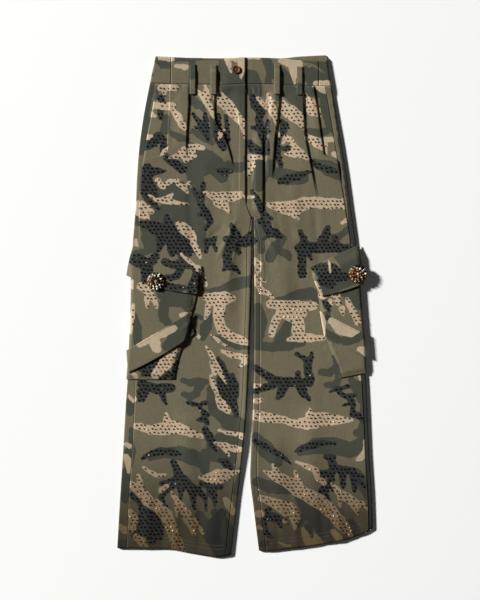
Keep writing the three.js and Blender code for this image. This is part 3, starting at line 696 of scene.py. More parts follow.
def woven_piece(name, columns, rows, place, wall, node, cut):
    """A sheet of cloth from a flat grid: place(u, v) gives its points, and wall its thickness.

    Its cut, the width, length and area in metres of what shows of it laid out flat, is not used.
    """
    bm = bmesh.new()
    bmesh.ops.create_grid(bm, x_segments=columns, y_segments=rows, size=0.5)
    mesh = bpy.data.meshes.new(name)
    bm.to_mesh(mesh)
    bm.free()
    flat = np.zeros(3 * len(mesh.vertices), np.float32)
    mesh.vertices.foreach_get("co", flat)
    u, v = (flat.reshape(-1, 3)[:, :2] + 0.5).astype(float).T
    x, y, z = place(u, v)
    mesh.vertices.foreach_set("co", (np.stack((x, y, z), 1) * MM).astype(np.float32).ravel())
    mesh.update()
    if sum(f.normal.z * f.area for f in mesh.polygons) < 0:
        mesh.flip_normals()
    mesh.shade_smooth()
    mesh.materials.append(TWILL)
    piece = bpy.data.objects.new(name, mesh)
    bpy.context.scene.collection.objects.link(piece)
    thickness = piece.modifiers.new("wall", "SOLIDIFY")
    thickness.thickness = wall * MM
    thickness.offset = 0
    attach(piece, "root")
    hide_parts(node)
    return piece


FLY_UNDERLAP, FLY_LAP, FLY_END_Y = 8, 12, 214
FLY_RISE = CLOTH + LAYER_GAP + 0.5
MOUTH = {RIGHT: ((540, 159), (330, 168.5)), LEFT: ((540, 140), (330, 170))}
MOUTH_END_Y, FACING_END_Y, FACING_UNDERLAP = 326, 300, 6
MOUTH_RISE = CLOTH + 0.6
PLEAT_OVERLAP, PLEAT_RISE, PLEAT_WIDTH = 6, 3.2, 6
# at the waist seam the panel, its lap and the facing rise to meet the waistband's edge
PANEL_TOP_LIFT, LAP_TOP_LIFT, FACING_TOP_LIFT = 2.15, 4.55, 2.15
# line of the folded edge as y, out; where it starts, where its overlap closes, where it ends,
# and its share of the leg's width at the hem
PLEATS = {
    RIGHT: (
        (((540, 121), (452, 121), (348, 126.5), (250, 128)), WAIST_SEAM_Y, 385, 300, 0.66),
        (((540, 66), (408, 65.5), (362, 43), (287, 22)), WAIST_SEAM_Y, 345, 292, 0.3),
    ),
    LEFT: (
        (
            ((540, 123), (456, 125.5), (381, 128), (309, 140), (230, 155)),
            WAIST_SEAM_Y, 310, 215, 0.7,
        ),
        (
            ((540, 75), (460, 74.5), (344, 63.2), (271, 58.3), (230, 57)),
            WAIST_SEAM_Y, 330, 262, 0.4,
        ),
        (((400, 38.5), (190, 38.5)), 395, 235, 196, 0.18),
    ),
}
# Soft folds on the top layer: from x, y to x, y, height, half width. Troughs are below zero.
SOFT_FOLDS = (
    (-22, 235, -48, -60, 2.4, 20), (-128, -190, -118, -480, 2.2, 24),
    (-50, -330, -74, -535, 1.8, 18), (60, 240, 92, -20, 2.4, 20),
    (138, -190, 150, -470, 2.2, 24), (62, -250, 84, -520, 1.8, 18),
    # drag lines from the crotch
    (-14, 196, -62, 96, 1.5, 5), (-12, 178, -38, 40, 1.1, 4), (-40, 178, -96, 128, -0.9, 6),
    (20, 190, 70, 112, 1.4, 5), (24, 168, 44, 52, 1.1, 4), (52, 186, 118, 146, -0.9, 6),
    # the rolled inner edges
    (14, 190, -6, -430, 3.6, 11), (30, 190, 16, -430, 1, 9),
    # where the pleats open out into the legs
    (-122, 300, -112, 96, -1.1, 9), (-36, 300, -16, 110, -0.8, 7), (-88, 330, -84, 120, 0.9, 12),
    (148, 230, 160, 60, -1, 9), (62, 262, 84, 60, -1, 8), (104, 300, 116, 110, 0.9, 12),
    # gathers beside the cargo pockets
    (164, -70, 194, -86, 1.1, 3.5), (168, -88, 200, -104, 1, 4), (176, -106, 206, -128, 0.8, 4),
    (-104, 0, -132, -20, 0.9, 4), (-112, -30, -140, -56, 0.9, 4), (-134, -84, -158, -118, 0.8, 4),
    # knees and shins
    (-180, -190, -60, -214, 0.8, 9), (-150, -232, -40, -222, -0.7, 8),
    (-200, -280, -96, -322, 0.8, 10), (60, -190, 170, -206, 0.8, 9),
    (90, -262, 220, -246, -0.7, 9), (40, -330, 150, -352, 0.8, 10),
    # the hems ripple
    (-206, -380, -214, -536, 1.5, 11), (-176, -430, -180, -536, -1, 9),
    (-146, -410, -152, -536, 1.2, 9), (-96, -430, -98, -536, -0.9, 9), (-44, -420, -40, -536, 1, 8),
    (72, -440, 70, -536, -0.9, 8), (104, -400, 112, -536, 1.3, 10), (164, -430, 172, -536, -1, 9),
    (196, -390, 208, -536, 1.4, 10), (236, -430, 244, -530, -0.8, 8),
)


def fold_rise(x, y):
    rise = 0 * x
    for x0, y0, x1, y1, height, width in SOFT_FOLDS:
        length = math.hypot(x1 - x0, y1 - y0)
        t = ((x - x0) * (x1 - x0) + (y - y0) * (y1 - y0)) / length**2
        away = ((x - x0) * (y1 - y0) - (y - y0) * (x1 - x0)) / length / width
        rise = rise + height * smooth(t * 4) * smooth((1 - t) * 4) * np.exp(-away * away)
    return rise


def front_place(side):
    pleats = PLEATS[side]
    shares = [3, 36, *([4, 20, 4, 24] * len(pleats)), 8, 6]
    shares[-3] = 12
    stations = np.cumsum([0, *shares]) / sum(shares)

    def place(u, v):
        y = mix(HEM_ROW_Y, PANEL_TOP_Y, v)
        seam = outseam(side, y) - SEAM_GAP / 2
        outer = mix(seam, eased(MOUTH[side], 1, y), ramp(y, 312, MOUTH_END_Y))
        mouth_lift = MOUTH_RISE * ramp(y, FACING_END_Y - 38, FACING_END_Y - 2)
        centre = centre_seam(side, y)
        lap_lift = 0 * y
        if side == RIGHT:
            lap_lift = FLY_RISE * ramp(y, FLY_END_Y, 240)
        else:
            centre = centre - FLY_UNDERLAP * ramp(y, 240, 282)
        below = 1 - np.clip((y - CROTCH_Y) / 5, 0, 1)
        inner = mix(centre, inseam(side, y) + SEAM_GAP / 2, below)
        at_waist = ramp(y, PANEL_TOP_Y - 26, PANEL_TOP_Y - 3)
        mouth_lift = mouth_lift + (FACING_TOP_LIFT - 0.3) * at_waist
        marks, lifts = [outer, outer - FACING_UNDERLAP - 2], [mouth_lift, mouth_lift]
        folds = []
        for line, start_y, close_y, end_y, hem_share in pleats:
            started = 1 if start_y == WAIST_SEAM_Y else ramp(y, start_y, start_y - 60)
            overlap = PLEAT_OVERLAP * started * ramp(y, close_y - 45, close_y)
            rise = PLEAT_RISE * started * ramp(y, end_y, close_y - 20)
            spread = ramp(y, end_y + 20, end_y - 220)
            middle = eased(line, 1, y) + side * (PLEAT_WIDTH / 4 - overlap)
            middle = mix(middle, mix(inner, outer, hem_share), spread)
            width = mix(PLEAT_WIDTH, 22, spread)
            ends = (rise, 0 * y) if side == RIGHT else (0 * y, rise)
            ends = [mix(end, np.maximum(end, PANEL_TOP_LIFT), at_waist) for end in ends]
            half = width / 2
            marks += [middle + half + PLEAT_WIDTH, middle + half]
            marks += [middle - half, middle - half - PLEAT_WIDTH]
            lifts += [mix(ends[0], PANEL_TOP_LIFT, at_waist), *ends]
            lifts += [mix(ends[1], PANEL_TOP_LIFT, at_waist)]
            folds.append((len(marks) - 3, overlap, ends))
        lap_top = LAP_TOP_LIFT if side == RIGHT else PANEL_TOP_LIFT
        lap_lift = mix(lap_lift, lap_top, at_waist)
        lap_root = mix(FLY_LAP + 0.8, 34 if side == RIGHT else 27, ramp(y, 385, 452))
        marks += [mix(lap_root, inner + 17, below), mix(FLY_LAP + 0 * y, inner + 14, below), inner]
        lifts += [lap_lift * at_waist, lap_lift, lap_lift]
        out = piecewise(stations, marks, u)
        lift = piecewise(stations, lifts, u, ease=True)
        for k, overlap, ends in folds:
            t = (u - stations[k]) / (stations[k + 1] - stations[k])
            within = (t >= 0) & (t <= 1)
            step = 0.5 * ramp(t, 0.15, 0.35) + 0.5 * ramp(t, 0.65, 0.85)
            out = np.where(within, out - overlap * np.sin(2 * math.pi * t), out)
            lift = np.where(within, mix(*ends, step), lift)
        x, y = side * out, bent_y(side, out, y, 1)
        return x, y, TOP_Z + lift + fold_rise(x, y)

    return place


FRONT_CUT = {RIGHT: (0.284, 1.002, 0.247), LEFT: (0.29, 1.002, 0.245)}
cloth = {}
for side, word in SIDES:
    name = f"front_panel_{word}"
    place = front_place(side)
    cloth[name] = woven_piece(f"{name}_cloth", 140, 250, place, CLOTH, name, FRONT_CUT[side])
    x, y, _ = points_of(cloth[name].data)
    dye(cloth[name], print_depths(LEG_PRINT_AND_SHADE, x, y))

# Back panels: one layer of cotton twill on the table, which turns up round both edges of the
# leg and is seamed to the front on top, at the outseam and, below the crotch, at the inseam.
def folded_turn(t, out, z_low, z_high):
    """Half a turn of cloth from the floor layer at t = 0 to the top layer at t = 1."""
    radius = (z_high - z_low) / 2
    return (
        out - radius + radius * np.sin(math.pi * t),
        z_low + radius - radius * np.cos(math.pi * t),
    )


# The strips of the back panels that show on top, beside the outseams. Beside the inseams the
# print runs on from the front.
STRIP_PRINT_AND_SHADE = {
    "green": """
137 217 2.5  137 223 2.5
152 70 6  146 100 6  140 150 5
130 402 4  130 412 4
132 430 3  131 443 3
128 452 4  129 454 4
126 472 4.5  126 485 5  125 499 4.5
122 544 5  128 546 5
""",
    # The black strokes down the left leg's outer strip are painted shade: that rolled edge is
    # darkened its whole length to stand for the shade it lies in.
    "black": """
336 88 5  344 140 6  352 190 6.5  357 240 7
358 250 7  363 330 7  368 400 7  372 470 7  374 530 7
""",
    "plain beige": """
138 202 2  138 214 2
126 444 2.5  130 446 2.5
126 457 3.5  129 463 4  129 471 2.5
120 527 3  126 531 3.5
136 240 2  136 246 2
129 396 1.5  133 401 2
""",
}
BACK_TURN_Y = -22  # the leg's print is turned about this line for the back
BACK_STATIONS = (0, 0.08, 0.2, 0.7, 0.84, 1)


def back_place(side):
    def place(u, v):
        y = mix(HEM_ROW_Y, PANEL_TOP_Y, v)
        inner, outer = inner_edge(side, y), outer_edge(side, y)
        split = 1 - np.clip((y - CROTCH_Y) / 5, 0, 1)
        centre = centre_seam(side, y)
        roll_top = TOP_Z + fold_rise(side * inner, y)
        roll_r = (roll_top - FLOOR_Z) / 2
        turned = 1 - np.clip((u - 0.08) / 0.12, 0, 1)
        turn_out, turn_z = folded_turn(turned, -inner, FLOOR_Z, roll_top)
        marks = (
            mix(centre, inseam(side, y) - SEAM_GAP / 2, split),
            mix(centre + 1, inner + roll_r, split),
            mix(centre + 3, inner + roll_r, split),
            outer - EDGE_R,
            outer - EDGE_R,
            outseam(side, y) + SEAM_GAP / 2,
        )
        out = piecewise(BACK_STATIONS, marks, u)
        inner_turn = (u > 0.08) & (u < 0.2)
        out = np.where(inner_turn, mix(out, -turn_out, split), out)
        strip_z = TOP_Z + fold_rise(side * out, y)
        z = np.where(u < 0.2, mix(FLOOR_Z, np.where(u <= 0.08, strip_z, turn_z), split), FLOOR_Z)
        outer_out, outer_z = folded_turn(np.clip((u - 0.7) / 0.14, 0, 1), outer, FLOOR_Z, TOP_Z)
        out = np.where((u > 0.7) & (u < 0.84), outer_out, out)
        z = np.where(u > 0.7, outer_z, z)
        waist_lift = FACING_TOP_LIFT * ramp(y, PANEL_TOP_Y - 26, PANEL_TOP_Y - 3)
        z = z + waist_lift * np.clip((u - 0.78) / 0.06, 0, 1)
        on_top = np.clip(np.maximum((u - 0.7) / 0.14, (0.2 - u) / 0.12 * split), 0, 1)
        return side * out, bent_y(side, out, y, on_top), z

    return place


BACK_CUT = {RIGHT: (0.3, 1.01, 0.285), LEFT: (0.3, 1.01, 0.275)}
for side, word in SIDES:
    name = f"back_panel_{word}"
    place = back_place(side)
    cloth[name] = woven_piece(f"{name}_cloth", 90, 240, place, CLOTH, name, BACK_CUT[side])
    x, y, z = points_of(cloth[name].data)
    outer_strip, inner_strip = print_depths(STRIP_PRINT_AND_SHADE, x, y), print_depths(LEG_PRINT_AND_SHADE, x, y)
    above = {c: np.where(side * x < 120, inner_strip[c], outer_strip[c]) for c in outer_strip}
    below = print_depths(LEG_PRINT_AND_SHADE, -x, 2 * BACK_TURN_Y - y)
    turned = ramp(z, FLOOR_Z + 1, TOP_Z - 1)
    dye(cloth[name], {colour: mix(below[colour], above[colour], turned) for colour in above})

# Pocket facings: the strips of twill seen inside the side pockets' mouths, level with the
# back panel's turned edge and lying under the front panel's edge.
def facing_place(side):
    def place(u, v):
        y = mix(FACING_END_Y, PANEL_TOP_Y, v)
        out = mix(outseam(side, y) - SEAM_GAP / 2, eased(MOUTH[side], 1, y) - FACING_UNDERLAP, u)
        lift = FACING_TOP_LIFT * ramp(y, PANEL_TOP_Y - 26, PANEL_TOP_Y - 3)
        return side * out, bent_y(side, out, y, 1), TOP_Z + lift

    return place


FACING_CUT = (0.05, 0.178, 0.0068)
for side, word in SIDES:
    name = f"pocket_facing_{word}"
    place = facing_place(side)
    cloth[name] = woven_piece(f"{name}_cloth", 14, 46, place, CLOTH, name, FACING_CUT)
    x, y, _ = points_of(cloth[name].data)
    dye(cloth[name], print_depths(LEG_PRINT_AND_SHADE, x, y))

# Waistband: double twill. Its back lies on the table and turns up round both sides, and its
# two fronts lie flat over the pleats, the wearer's right one lapping over the left.
BAND_CLOTH, BAND_RISE, BAND_SEAM_OUT, BAND_UNDERLAP = 2, 1.6, 159, 31
BAND_LAP_RISE = BAND_CLOTH + LAYER_GAP
BAND_END_Y = WAIST_SEAM_Y
BAND_TOP_Z = TOP_Z + BAND_RISE
BACK_BAND_SHIFT_Y = 290  # the back is cut from this much further up the leg's print
BAND_PRINT_AND_SHADE = {
    # The first and the last green strokes, beside the left inner belt loop, are painted shade of the
    # pleat there.
    "green": """
266 58 4  270 68 5  276 76 4  278 84 3.5
249 72 3  249 84 3
283 70 3  289 80 6  297 84 6
312 72 5  320 78 6  329 78 5
305 59 3  318 60 4  328 60 4
157 61 3  163 64 4.5  168 66 3
192 56 3.5  192 84 3.5
222 66 4  226 80 6  234 84 6
220 77 4  232 80 5  241 79 5
173 60 1.8  190 59.5 2  210 58.5 2  226 58 1.5
221 60 2.5  240 80 5
254 74 4  257 84 5.5
305 70 4  313 82 6.5
318 60 6  326 66 6
143 78 5  150 74 4
270 70 3  268 84 4
""",
    "plain beige": """
160 58 2  172 59 2.5
176 66 2  186 67 3
226 58 2  229 64 2.5  231 73 1
231 58 3  241 59 4  242 68 3.5  241 79 1
247 58 1.5  259 58 1.5
280 61 2  288 63 4  297 65 5  300 71 3.5
292 69 4  294.5 77 2.5  294.5 84 1
316 84 3  327 84 4
""",
}


def band_front_place(side):
    end = side * CENTRE_SEAM + SEAM_GAP / 2
    inner_out = end if side == RIGHT else end - BAND_UNDERLAP

    def place(u, v):
        y = mix(BAND_END_Y, BAND_TOP_Y, v)
        out = mix(BAND_SEAM_OUT - SEAM_GAP / 2, inner_out, u)
        z = BAND_TOP_Z + 0 * u
        if side == RIGHT:
            z = z + BAND_LAP_RISE * ramp(out, 55, 36)
        return side * out, bent_y(side, out, y, 1), z

    return place


def band_back_place(u, v):
    y = mix(BAND_END_Y, BAND_TOP_Y, v)
    side = np.where(u < 0.5, RIGHT, LEFT)
    t = abs(u - 0.5) * 2
    edge = np.where(side == RIGHT, eased(OUTLINE[RIGHT], 1, y), eased(OUTLINE[LEFT], 1, y))
    edge = edge - BAND_CLOTH / 2
    low, high = BAND_CLOTH / 2, BAND_TOP_Z
    turn_out, turn_z = folded_turn(np.clip((t - 0.7) / 0.15, 0, 1), edge, low, high)
    flat_end = edge - (high - low) / 2
    marks = (0 * t, flat_end, flat_end, BAND_SEAM_OUT + SEAM_GAP / 2 + 0 * t)
    out = piecewise((0, 0.7, 0.85, 1), marks, t)
    out = np.where((t > 0.7) & (t < 0.85), turn_out, out)
    z = np.where(t > 0.7, turn_z, low)
    x = side * out
    waist = mix(eased(WAIST_BACK, 1, x), eased(WAIST_FRONT, 1, x), np.clip((t - 0.7) / 0.15, 0, 1))
    y = y + (waist - BAND_TOP_Y) * ramp(y, BAND_TOP_Y - WAIST_EASE, BAND_TOP_Y)
    return x, y, z


BAND_BACK_CUT = (0.44, 0.06, 0.0255)
BAND_FRONT_CUT = {RIGHT: (0.16, 0.058, 0.0092), LEFT: (0.19, 0.058, 0.0108)}
name = "waistband_back"
cloth[name] = woven_piece(
    f"{name}_cloth", 200, 16, band_back_place, BAND_CLOTH, name, BAND_BACK_CUT
)
x, y, z = points_of(cloth[name].data)
above = print_depths(BAND_PRINT_AND_SHADE, x, y)
below = print_depths(LEG_PRINT_AND_SHADE, x, y - BACK_BAND_SHIFT_Y)
turned = ramp(z, 2, 5)
dye(cloth[name], {colour: mix(below[colour], above[colour], turned) for colour in above})
for side, word in SIDES:
    name = f"waistband_front_{word}"
    place, cut = band_front_place(side), BAND_FRONT_CUT[side]
    cloth[name] = woven_piece(f"{name}_cloth", 54, 16, place, BAND_CLOTH, name, cut)
    x, y, _ = points_of(cloth[name].data)
    dye(cloth[name], print_depths(BAND_PRINT_AND_SHADE, x, y))

# Belt loops: narrow strips of folded twill, stitched down on the waistband and on the panel
# below it, and standing off the waistband between.
LOOP_WIDTH, DOUBLE_CLOTH = 12, 2
LOOP_TOP_Y, LOOP_END_Y = 522, 456
LOOP_PRINT = {"green": "192 60 4  192 76 4\n299 86 3  299 94 4"}
LOOPS = (
    ("belt_loop_right_outer", RIGHT, 112.4), ("belt_loop_right_inner", RIGHT, 67.4),
    ("belt_loop_left_inner", LEFT, 69.2), ("belt_loop_left_outer", LEFT, 117.4),
)


def surface_of(names):
    """The named pieces' middle layers, to find the height of the cloth under a place."""
    bm = bmesh.new()
    for piece_name in names:
        bm.from_mesh(cloth[piece_name].data)
    tree = BVHTree.FromBMesh(bm)
    bm.free()
    return tree


def heights(tree, x, y, missing):
    """The top of a surface at places given in mm, and missing where there is none."""
    found = np.array(missing, float) + 0 * x
    for i in range(len(x)):
        hit = tree.ray_cast(Vector((x[i] * MM, y[i] * MM, 0.1)), Vector((0, 0, -1)))[0]
        if hit is not None:
            found[i] = max(found[i], hit.z / MM)
    return found


legs_top = {
    side: surface_of((f"front_panel_{word}", f"back_panel_{word}")) for side, word in SIDES
}


def loop_place(side, loop_out):
    clear = DOUBLE_CLOTH / 2 + LAYER_GAP
    across = np.linspace(-LOOP_WIDTH / 2, LOOP_WIDTH / 2, 7)

    def panel_top(y):
        x = side * (loop_out + across)
        return max(heights(legs_top[side], x, y + 0 * x, TOP_Z)) + CLOTH / 2 + clear + 0.3

    band_top = BAND_TOP_Z + BAND_CLOTH / 2 + clear
    high = max(band_top, panel_top(PANEL_TOP_Y - 4))
    low = max(panel_top(LOOP_END_Y + 2), high - 1)
    marks = (low, high, high + 0.6, high + 0.6, band_top, band_top)
    stations = (
        LOOP_END_Y, LOOP_END_Y + 14, WAIST_SEAM_Y + 4, LOOP_TOP_Y - 16, LOOP_TOP_Y - 8, LOOP_TOP_Y,
    )

    def place(u, v):
        y = mix(LOOP_END_Y, LOOP_TOP_Y, v)
        out = loop_out + (u - 0.5) * LOOP_WIDTH
        z = piecewise(stations, marks, y, ease=True)
        return side * out, bent_y(side, out, y, 1), z - 0.5 * (2 * abs(u - 0.5)) ** 6

    return place


LOOP_CUT = (0.012, 0.067, 0.0008)
for name, side, loop_out in LOOPS:
    place = loop_place(side, loop_out)
    cloth[name] = woven_piece(f"{name}_cloth", 12, 33, place, DOUBLE_CLOTH, name, LOOP_CUT)
    x, y, _ = points_of(cloth[name].data)
    dye(cloth[name], print_depths(LOOP_PRINT, x, y))

# Cargo pockets: single twill, sewn to the panel along the inner and bottom edges, and wrapped
# round the leg's folded edge, with a gathered lower edge that stands off the leg.
POCKET_RISE, POCKET_WRAP, COVER_DROOP = 3, 2.2, 5
POCKET_PRINT_AND_SHADE = {
    "green": """
162 293 6  172 297 9  184 299 9  189 307 6
164 305 5  163 318 5  168 323 4
134 314 2.5  137 328 4.5  138 343 4
343 291 5  354 294 8  358 305 5
326 316 5  323 326 3
""",
    # The last black stroke, down the left pocket's inner edge, is painted shade along that edge.
    "black": """
141 370 3  150 364 5  160 357 4
143 374 3  150 373 4
176 362 2.5  175 370 3.5  173 378 3.5
160 379 1.5  168 375 4
324 301 2.5  327 306 3.5  329 310 2
324 332 2  330 338 3.5  340 342 3.5  352 342 3.5  364 337 2
333 356 1.5  337 366 2  341 377 1
""",
    "beige": """
141 286 4  148 291 4  147 299 3  147 307 1.5
149 291 3  154 299 3  157 307 1.5
134 305 1.5  132 318 2.5  131 333 1.5
179 350 2.5  172 356 6  165 364 6.5  155 375 4
332 293 3.5  341 291 2.5
336 295 4  338 303 2.5
342 309 3  343 314 1.5
321 296 2.5  325 298 2
330 301 2.5  332 304 1.5
347 300 2.5  353 311 3.5  358 322 3.5
""",
    "plain beige": """
132.5 281 1.5  132.5 288 1.2
182 315 2.5  190 315 3
131 372 1.8  136 376 2.5
359 347 3.5  364 352 4
""",
}
# how far out the inner edge is, y of the inner end, y of the outer end
POCKETS = {
    RIGHT: (
        (100, 58, 101), (102, 38, 62), (106, 12, 12), (114, -16, -36), (126, -62, -80),
        (140, -104, -114), (149, -143, -144), (150.5, -158, -158),
    ),
    LEFT: (
        (150, 56, 97), (155, 36, 62), (160, 6, 20), (166, -30, -26), (177, -74, -74),
        (189, -107, -105), (201, -140, -131), (204, -155, -145),
    ),
}


def top_at(side, out, y):
    """Height of the leg's top layer, which past the folded edge droops towards the table."""
    droop = COVER_DROOP * ramp(out, outer_edge(side, y) - 2, outer_edge(side, y) + 14)
    return heights(legs_top[side], side * out, y, TOP_Z - droop)


def by_row(table, column, v):
    """A table's column at v from its first row, 0, to its last, 1."""
    rows = [(k / (len(table) - 1), row[column]) for k, row in enumerate(table)]
    return eased(rows, 1, v)


def pocket_place(side):
    table = POCKETS[side]

    def place(u, v):
        v = 1 - v
        in_out, in_y, out_y = (by_row(table, column, v) for column in range(3))
        edge = eased(OUTLINE[side], 1, out_y)
        ends = mix(0.15, 1, ramp(v, 0, 1 / 7) * ramp(v, 1, 6 / 7))
        t = np.clip(u / 0.8, 0, 1)
        d = piecewise((0, 0.07, 0.16), (0, 0.6, 1), t)
        out = mix(in_out, edge - 5, t)
        y = mix(in_y, out_y, t)
        top = top_at(side, out, y) + CLOTH + LAYER_GAP + POCKET_RISE * ends * smooth(d)
        wrap = np.clip((u - 0.8) / 0.2, 0, 1)
        stations = (0, 0.25, 0.5, 0.75, 1)
        outermost = edge + POCKET_WRAP
        wrap_outs = (edge - 5, edge - 1.5, outermost - 0.6, outermost, outermost)
        wrap_zs = (top, mix(TOP_Z, top, 0.93), mix(TOP_Z, top, 0.6), TOP_Z + 0 * u, 1.5 + 0 * u)
        out = np.where(wrap > 0, piecewise(stations, wrap_outs, wrap), out)
        z = np.where(wrap > 0, piecewise(stations, wrap_zs, wrap), top)
        return side * out, bent_y(side, out, y, 1), z

    return place


POCKET_CUT = {RIGHT: (0.162, 0.26, 0.032), LEFT: (0.115, 0.25, 0.021)}
for side, word in SIDES:
    name = f"cargo_pocket_{word}"
    place = pocket_place(side)
    cloth[name] = woven_piece(f"{name}_cloth", 70, 90, place, CLOTH, name, POCKET_CUT[side])
    x, y, _ = points_of(cloth[name].data)
    dye(cloth[name], print_depths(POCKET_PRINT_AND_SHADE, x, y))

# Pocket flaps and straps: double twill with turned edges. A flap is sewn down along its top
# edge, a strap at its inner end, and both lie over the pocket and past the leg's edge.
FLAP_PRINT = {
    "green": """
155 291 3  168 294 4  180 292 3
136 255 5  150 250 4
338 250 6  352 252 8  360 262 8  352 276 9  340 282 8  330 290 6  322 291 5
350 264 8  356 272 8
337 256 4  345 262 6  345 272 5
""",
    "black": """
131 259 4.5  140 261 7  147 265 7  147 274 6  144 281 3.5
152 262 4.5  156 255 4  158 251 2.5
165 262 4  172 265 4  180 264 4.5  190 266 3.5
181 268 4  178 275 4  171 278 3.5  167 277 2.5
169 286 3.5  176 288 4  185 288 2.5
196 270 3.5  196 278 5  194 286 6.5  191 291 4
314 267 4  322 270 7.5  331 271 8  338 276 6  347 277 3.5
322 281 5  330 284 5
""",
    "beige": """
180 252 1  184 258 1.8  190 262 2  196 265 2.5  200 270 3.5  201 274 2
315 283 2  318 290 3  321 297 2
""",
    "plain beige": """
329 261 1  330 272 1
""",
}
STRAP_PRINT = {
    "green": """
170 334 5  178 327 9  188 320 9  191 334 6
167 346 5  176 340 8  186 333 8  192 326 5
325 331 3  331 336 4  338 340 4
345 341 5  356 338 5  363 334 4
338 310 3  350 317 2.5
""",
    "black": """
190 316 4  192 324 4.5  192 331 3
327 317 3  331 320 2
""",
    "plain beige": """
139 345 2.5  152 339 3.4  165 333 3.8  174 328 3.8
155 343 5.5  157 349 4.5
320 313 3  322 323 3.5  322 334 3
332 321 4  341 328 7  350 332 5  357 330 3
359 349 2.5  363 350 4  365 354 2
""",
}
# inner end's out and y, outer end's out and y, sag of the middle
FLAPS = {
    RIGHT: (
        (94, 86, 240.8, 130, 1), (92, 66, 246.5, 107, 3), (94.5, 46, 251.5, 86, 6),
        (102.5, 26, 254.8, 66, 9),
    ),
    LEFT: (
        (141, 84, 243, 131, 1), (146, 62, 248, 104, 2), (154, 41, 252, 76, 3),
        (164.5, 21, 255, 47, 3),
    ),
}
STRAPS = {
    RIGHT: (
        (118, -14, 254.6, -95.5, 0), (113, -37, 252.8, -119, 2), (107.5, -60, 250.7, -143, 5),
    ),
    LEFT: (
        (161, -10.8, 253.7, -58, 0), (166, -40, 257, -84, 0), (171, -68.8, 260, -109.7, 2),
    ),
}


def cover_place(side, table, sewn_top):
    def place(u, v):
        v = 1 - v
        in_out, in_y, out_out, out_y, sag = (by_row(table, column, v) for column in range(5))
        out = mix(in_out, out_out, u)
        y = mix(in_y, out_y, u) - sag * 4 * u * (1 - u)
        pocket_inner = eased([(row[1], row[0]) for row in POCKETS[side]], 1, y)
        over_pocket = smooth((out - pocket_inner + 7) / 9)
        free = smooth(3 * v) if sewn_top else 1
        lift = CLOTH / 2 + LAYER_GAP + DOUBLE_CLOTH / 2 + 0.2
        pocket_lift = CLOTH + LAYER_GAP + POCKET_RISE + 0.2
        z = top_at(side, out, y) + lift + pocket_lift * over_pocket * free
        return side * out, bent_y(side, out, y, 1), z

    return place


FLAP_CUT = {RIGHT: (0.163, 0.064, 0.0096), LEFT: (0.113, 0.085, 0.0074)}
STRAP_CUT = {RIGHT: (0.165, 0.049, 0.0068), LEFT: (0.106, 0.059, 0.0052)}
for side, word in SIDES:
    for name, table, sewn_top, rows, colours, cut in (
        (f"pocket_flap_{word}", FLAPS[side], True, 32, FLAP_PRINT, FLAP_CUT[side]),
        (f"pocket_strap_{word}", STRAPS[side], False, 26, STRAP_PRINT, STRAP_CUT[side]),
    ):
        place = cover_place(side, table, sewn_top)
        cloth[name] = woven_piece(f"{name}_cloth", 80, rows, place, DOUBLE_CLOTH, name, cut)
        x, y, _ = points_of(cloth[name].data)
        dye(cloth[name], print_depths(colours, x, y))


# Cut stones: brown and topaz ones on the beige of the print, black ones on the black, each
# with seven facets round a flat table, heat-set on the cloth in loose staggered rows.
STONE_PITCH, STONE_ROW, STONE_JITTER = 9.2, 7.8, 1.3
STONE_TABLE_SHARE, STONE_HEIGHT = 0.6, 1.4
STONE_MARGIN = 1
STONES = (  # name, the print's colour, what covers it, and the stones' radius
    ("brown", "beige", ("plain beige",), 2.2),
    ("black", "black", ("beige", "plain beige"), 2.45),
)


def facet_finish(name, stops):
    """Glass with a foil back, each stone in its own tint."""
    facets = Finish(name, {"Roughness": 0.16, "Coat Weight": 0.6, "Coat Roughness": 0.05})
    tint = facets.node("ShaderNodeAttribute", {"attribute_name": "tint"}, {}, "Fac")
    stops = [(position, dyed(*colour)) for position, colour in stops]
    facets.feed("Base Color", facets.node("ShaderNodeValToRGB", {"stops": stops}, {0: tint}))
    return facets.material


# The palest stop of each ramp is a painted glint: the few stones coloured cream among the brown, and
# pale grey among the black, stand for the lamp's sparkle in them.
STONE_FINISH = {
    "brown": facet_finish("topaz_glass", (
        (0, (50, 30, 24)), (0.56, (82, 50, 36)), (0.74, (136, 84, 50)), (0.9, (212, 138, 72)),
        (1, (250, 222, 180)),
    )),
    "black": facet_finish("jet_glass", (
        (0, (4, 5, 5)), (0.94, (10, 12, 12)), (0.985, (50, 56, 56)), (1, (170, 178, 178)),
    )),
}


def jewelled_parts(side, word):
    """Cloth that carries stones: its print, half its wall, and its middle layer's tree."""
    for name, colours, half in (
        (f"pocket_flap_{word}", FLAP_PRINT, DOUBLE_CLOTH / 2),
        (f"cargo_pocket_{word}", POCKET_PRINT_AND_SHADE, CLOTH / 2),
        (f"front_panel_{word}", LEG_PRINT_AND_SHADE, CLOTH / 2),
        (f"pocket_facing_{word}", LEG_PRINT_AND_SHADE, CLOTH / 2),
        (f"back_panel_{word}", LEG_PRINT_AND_SHADE, CLOTH / 2),
    ):
        yield surface_of((name,)), colours, half


def first_hit(tree, x, y):
    return tree.ray_cast(Vector((x * MM, y * MM, 0.1)), Vector((0, 0, -1)))


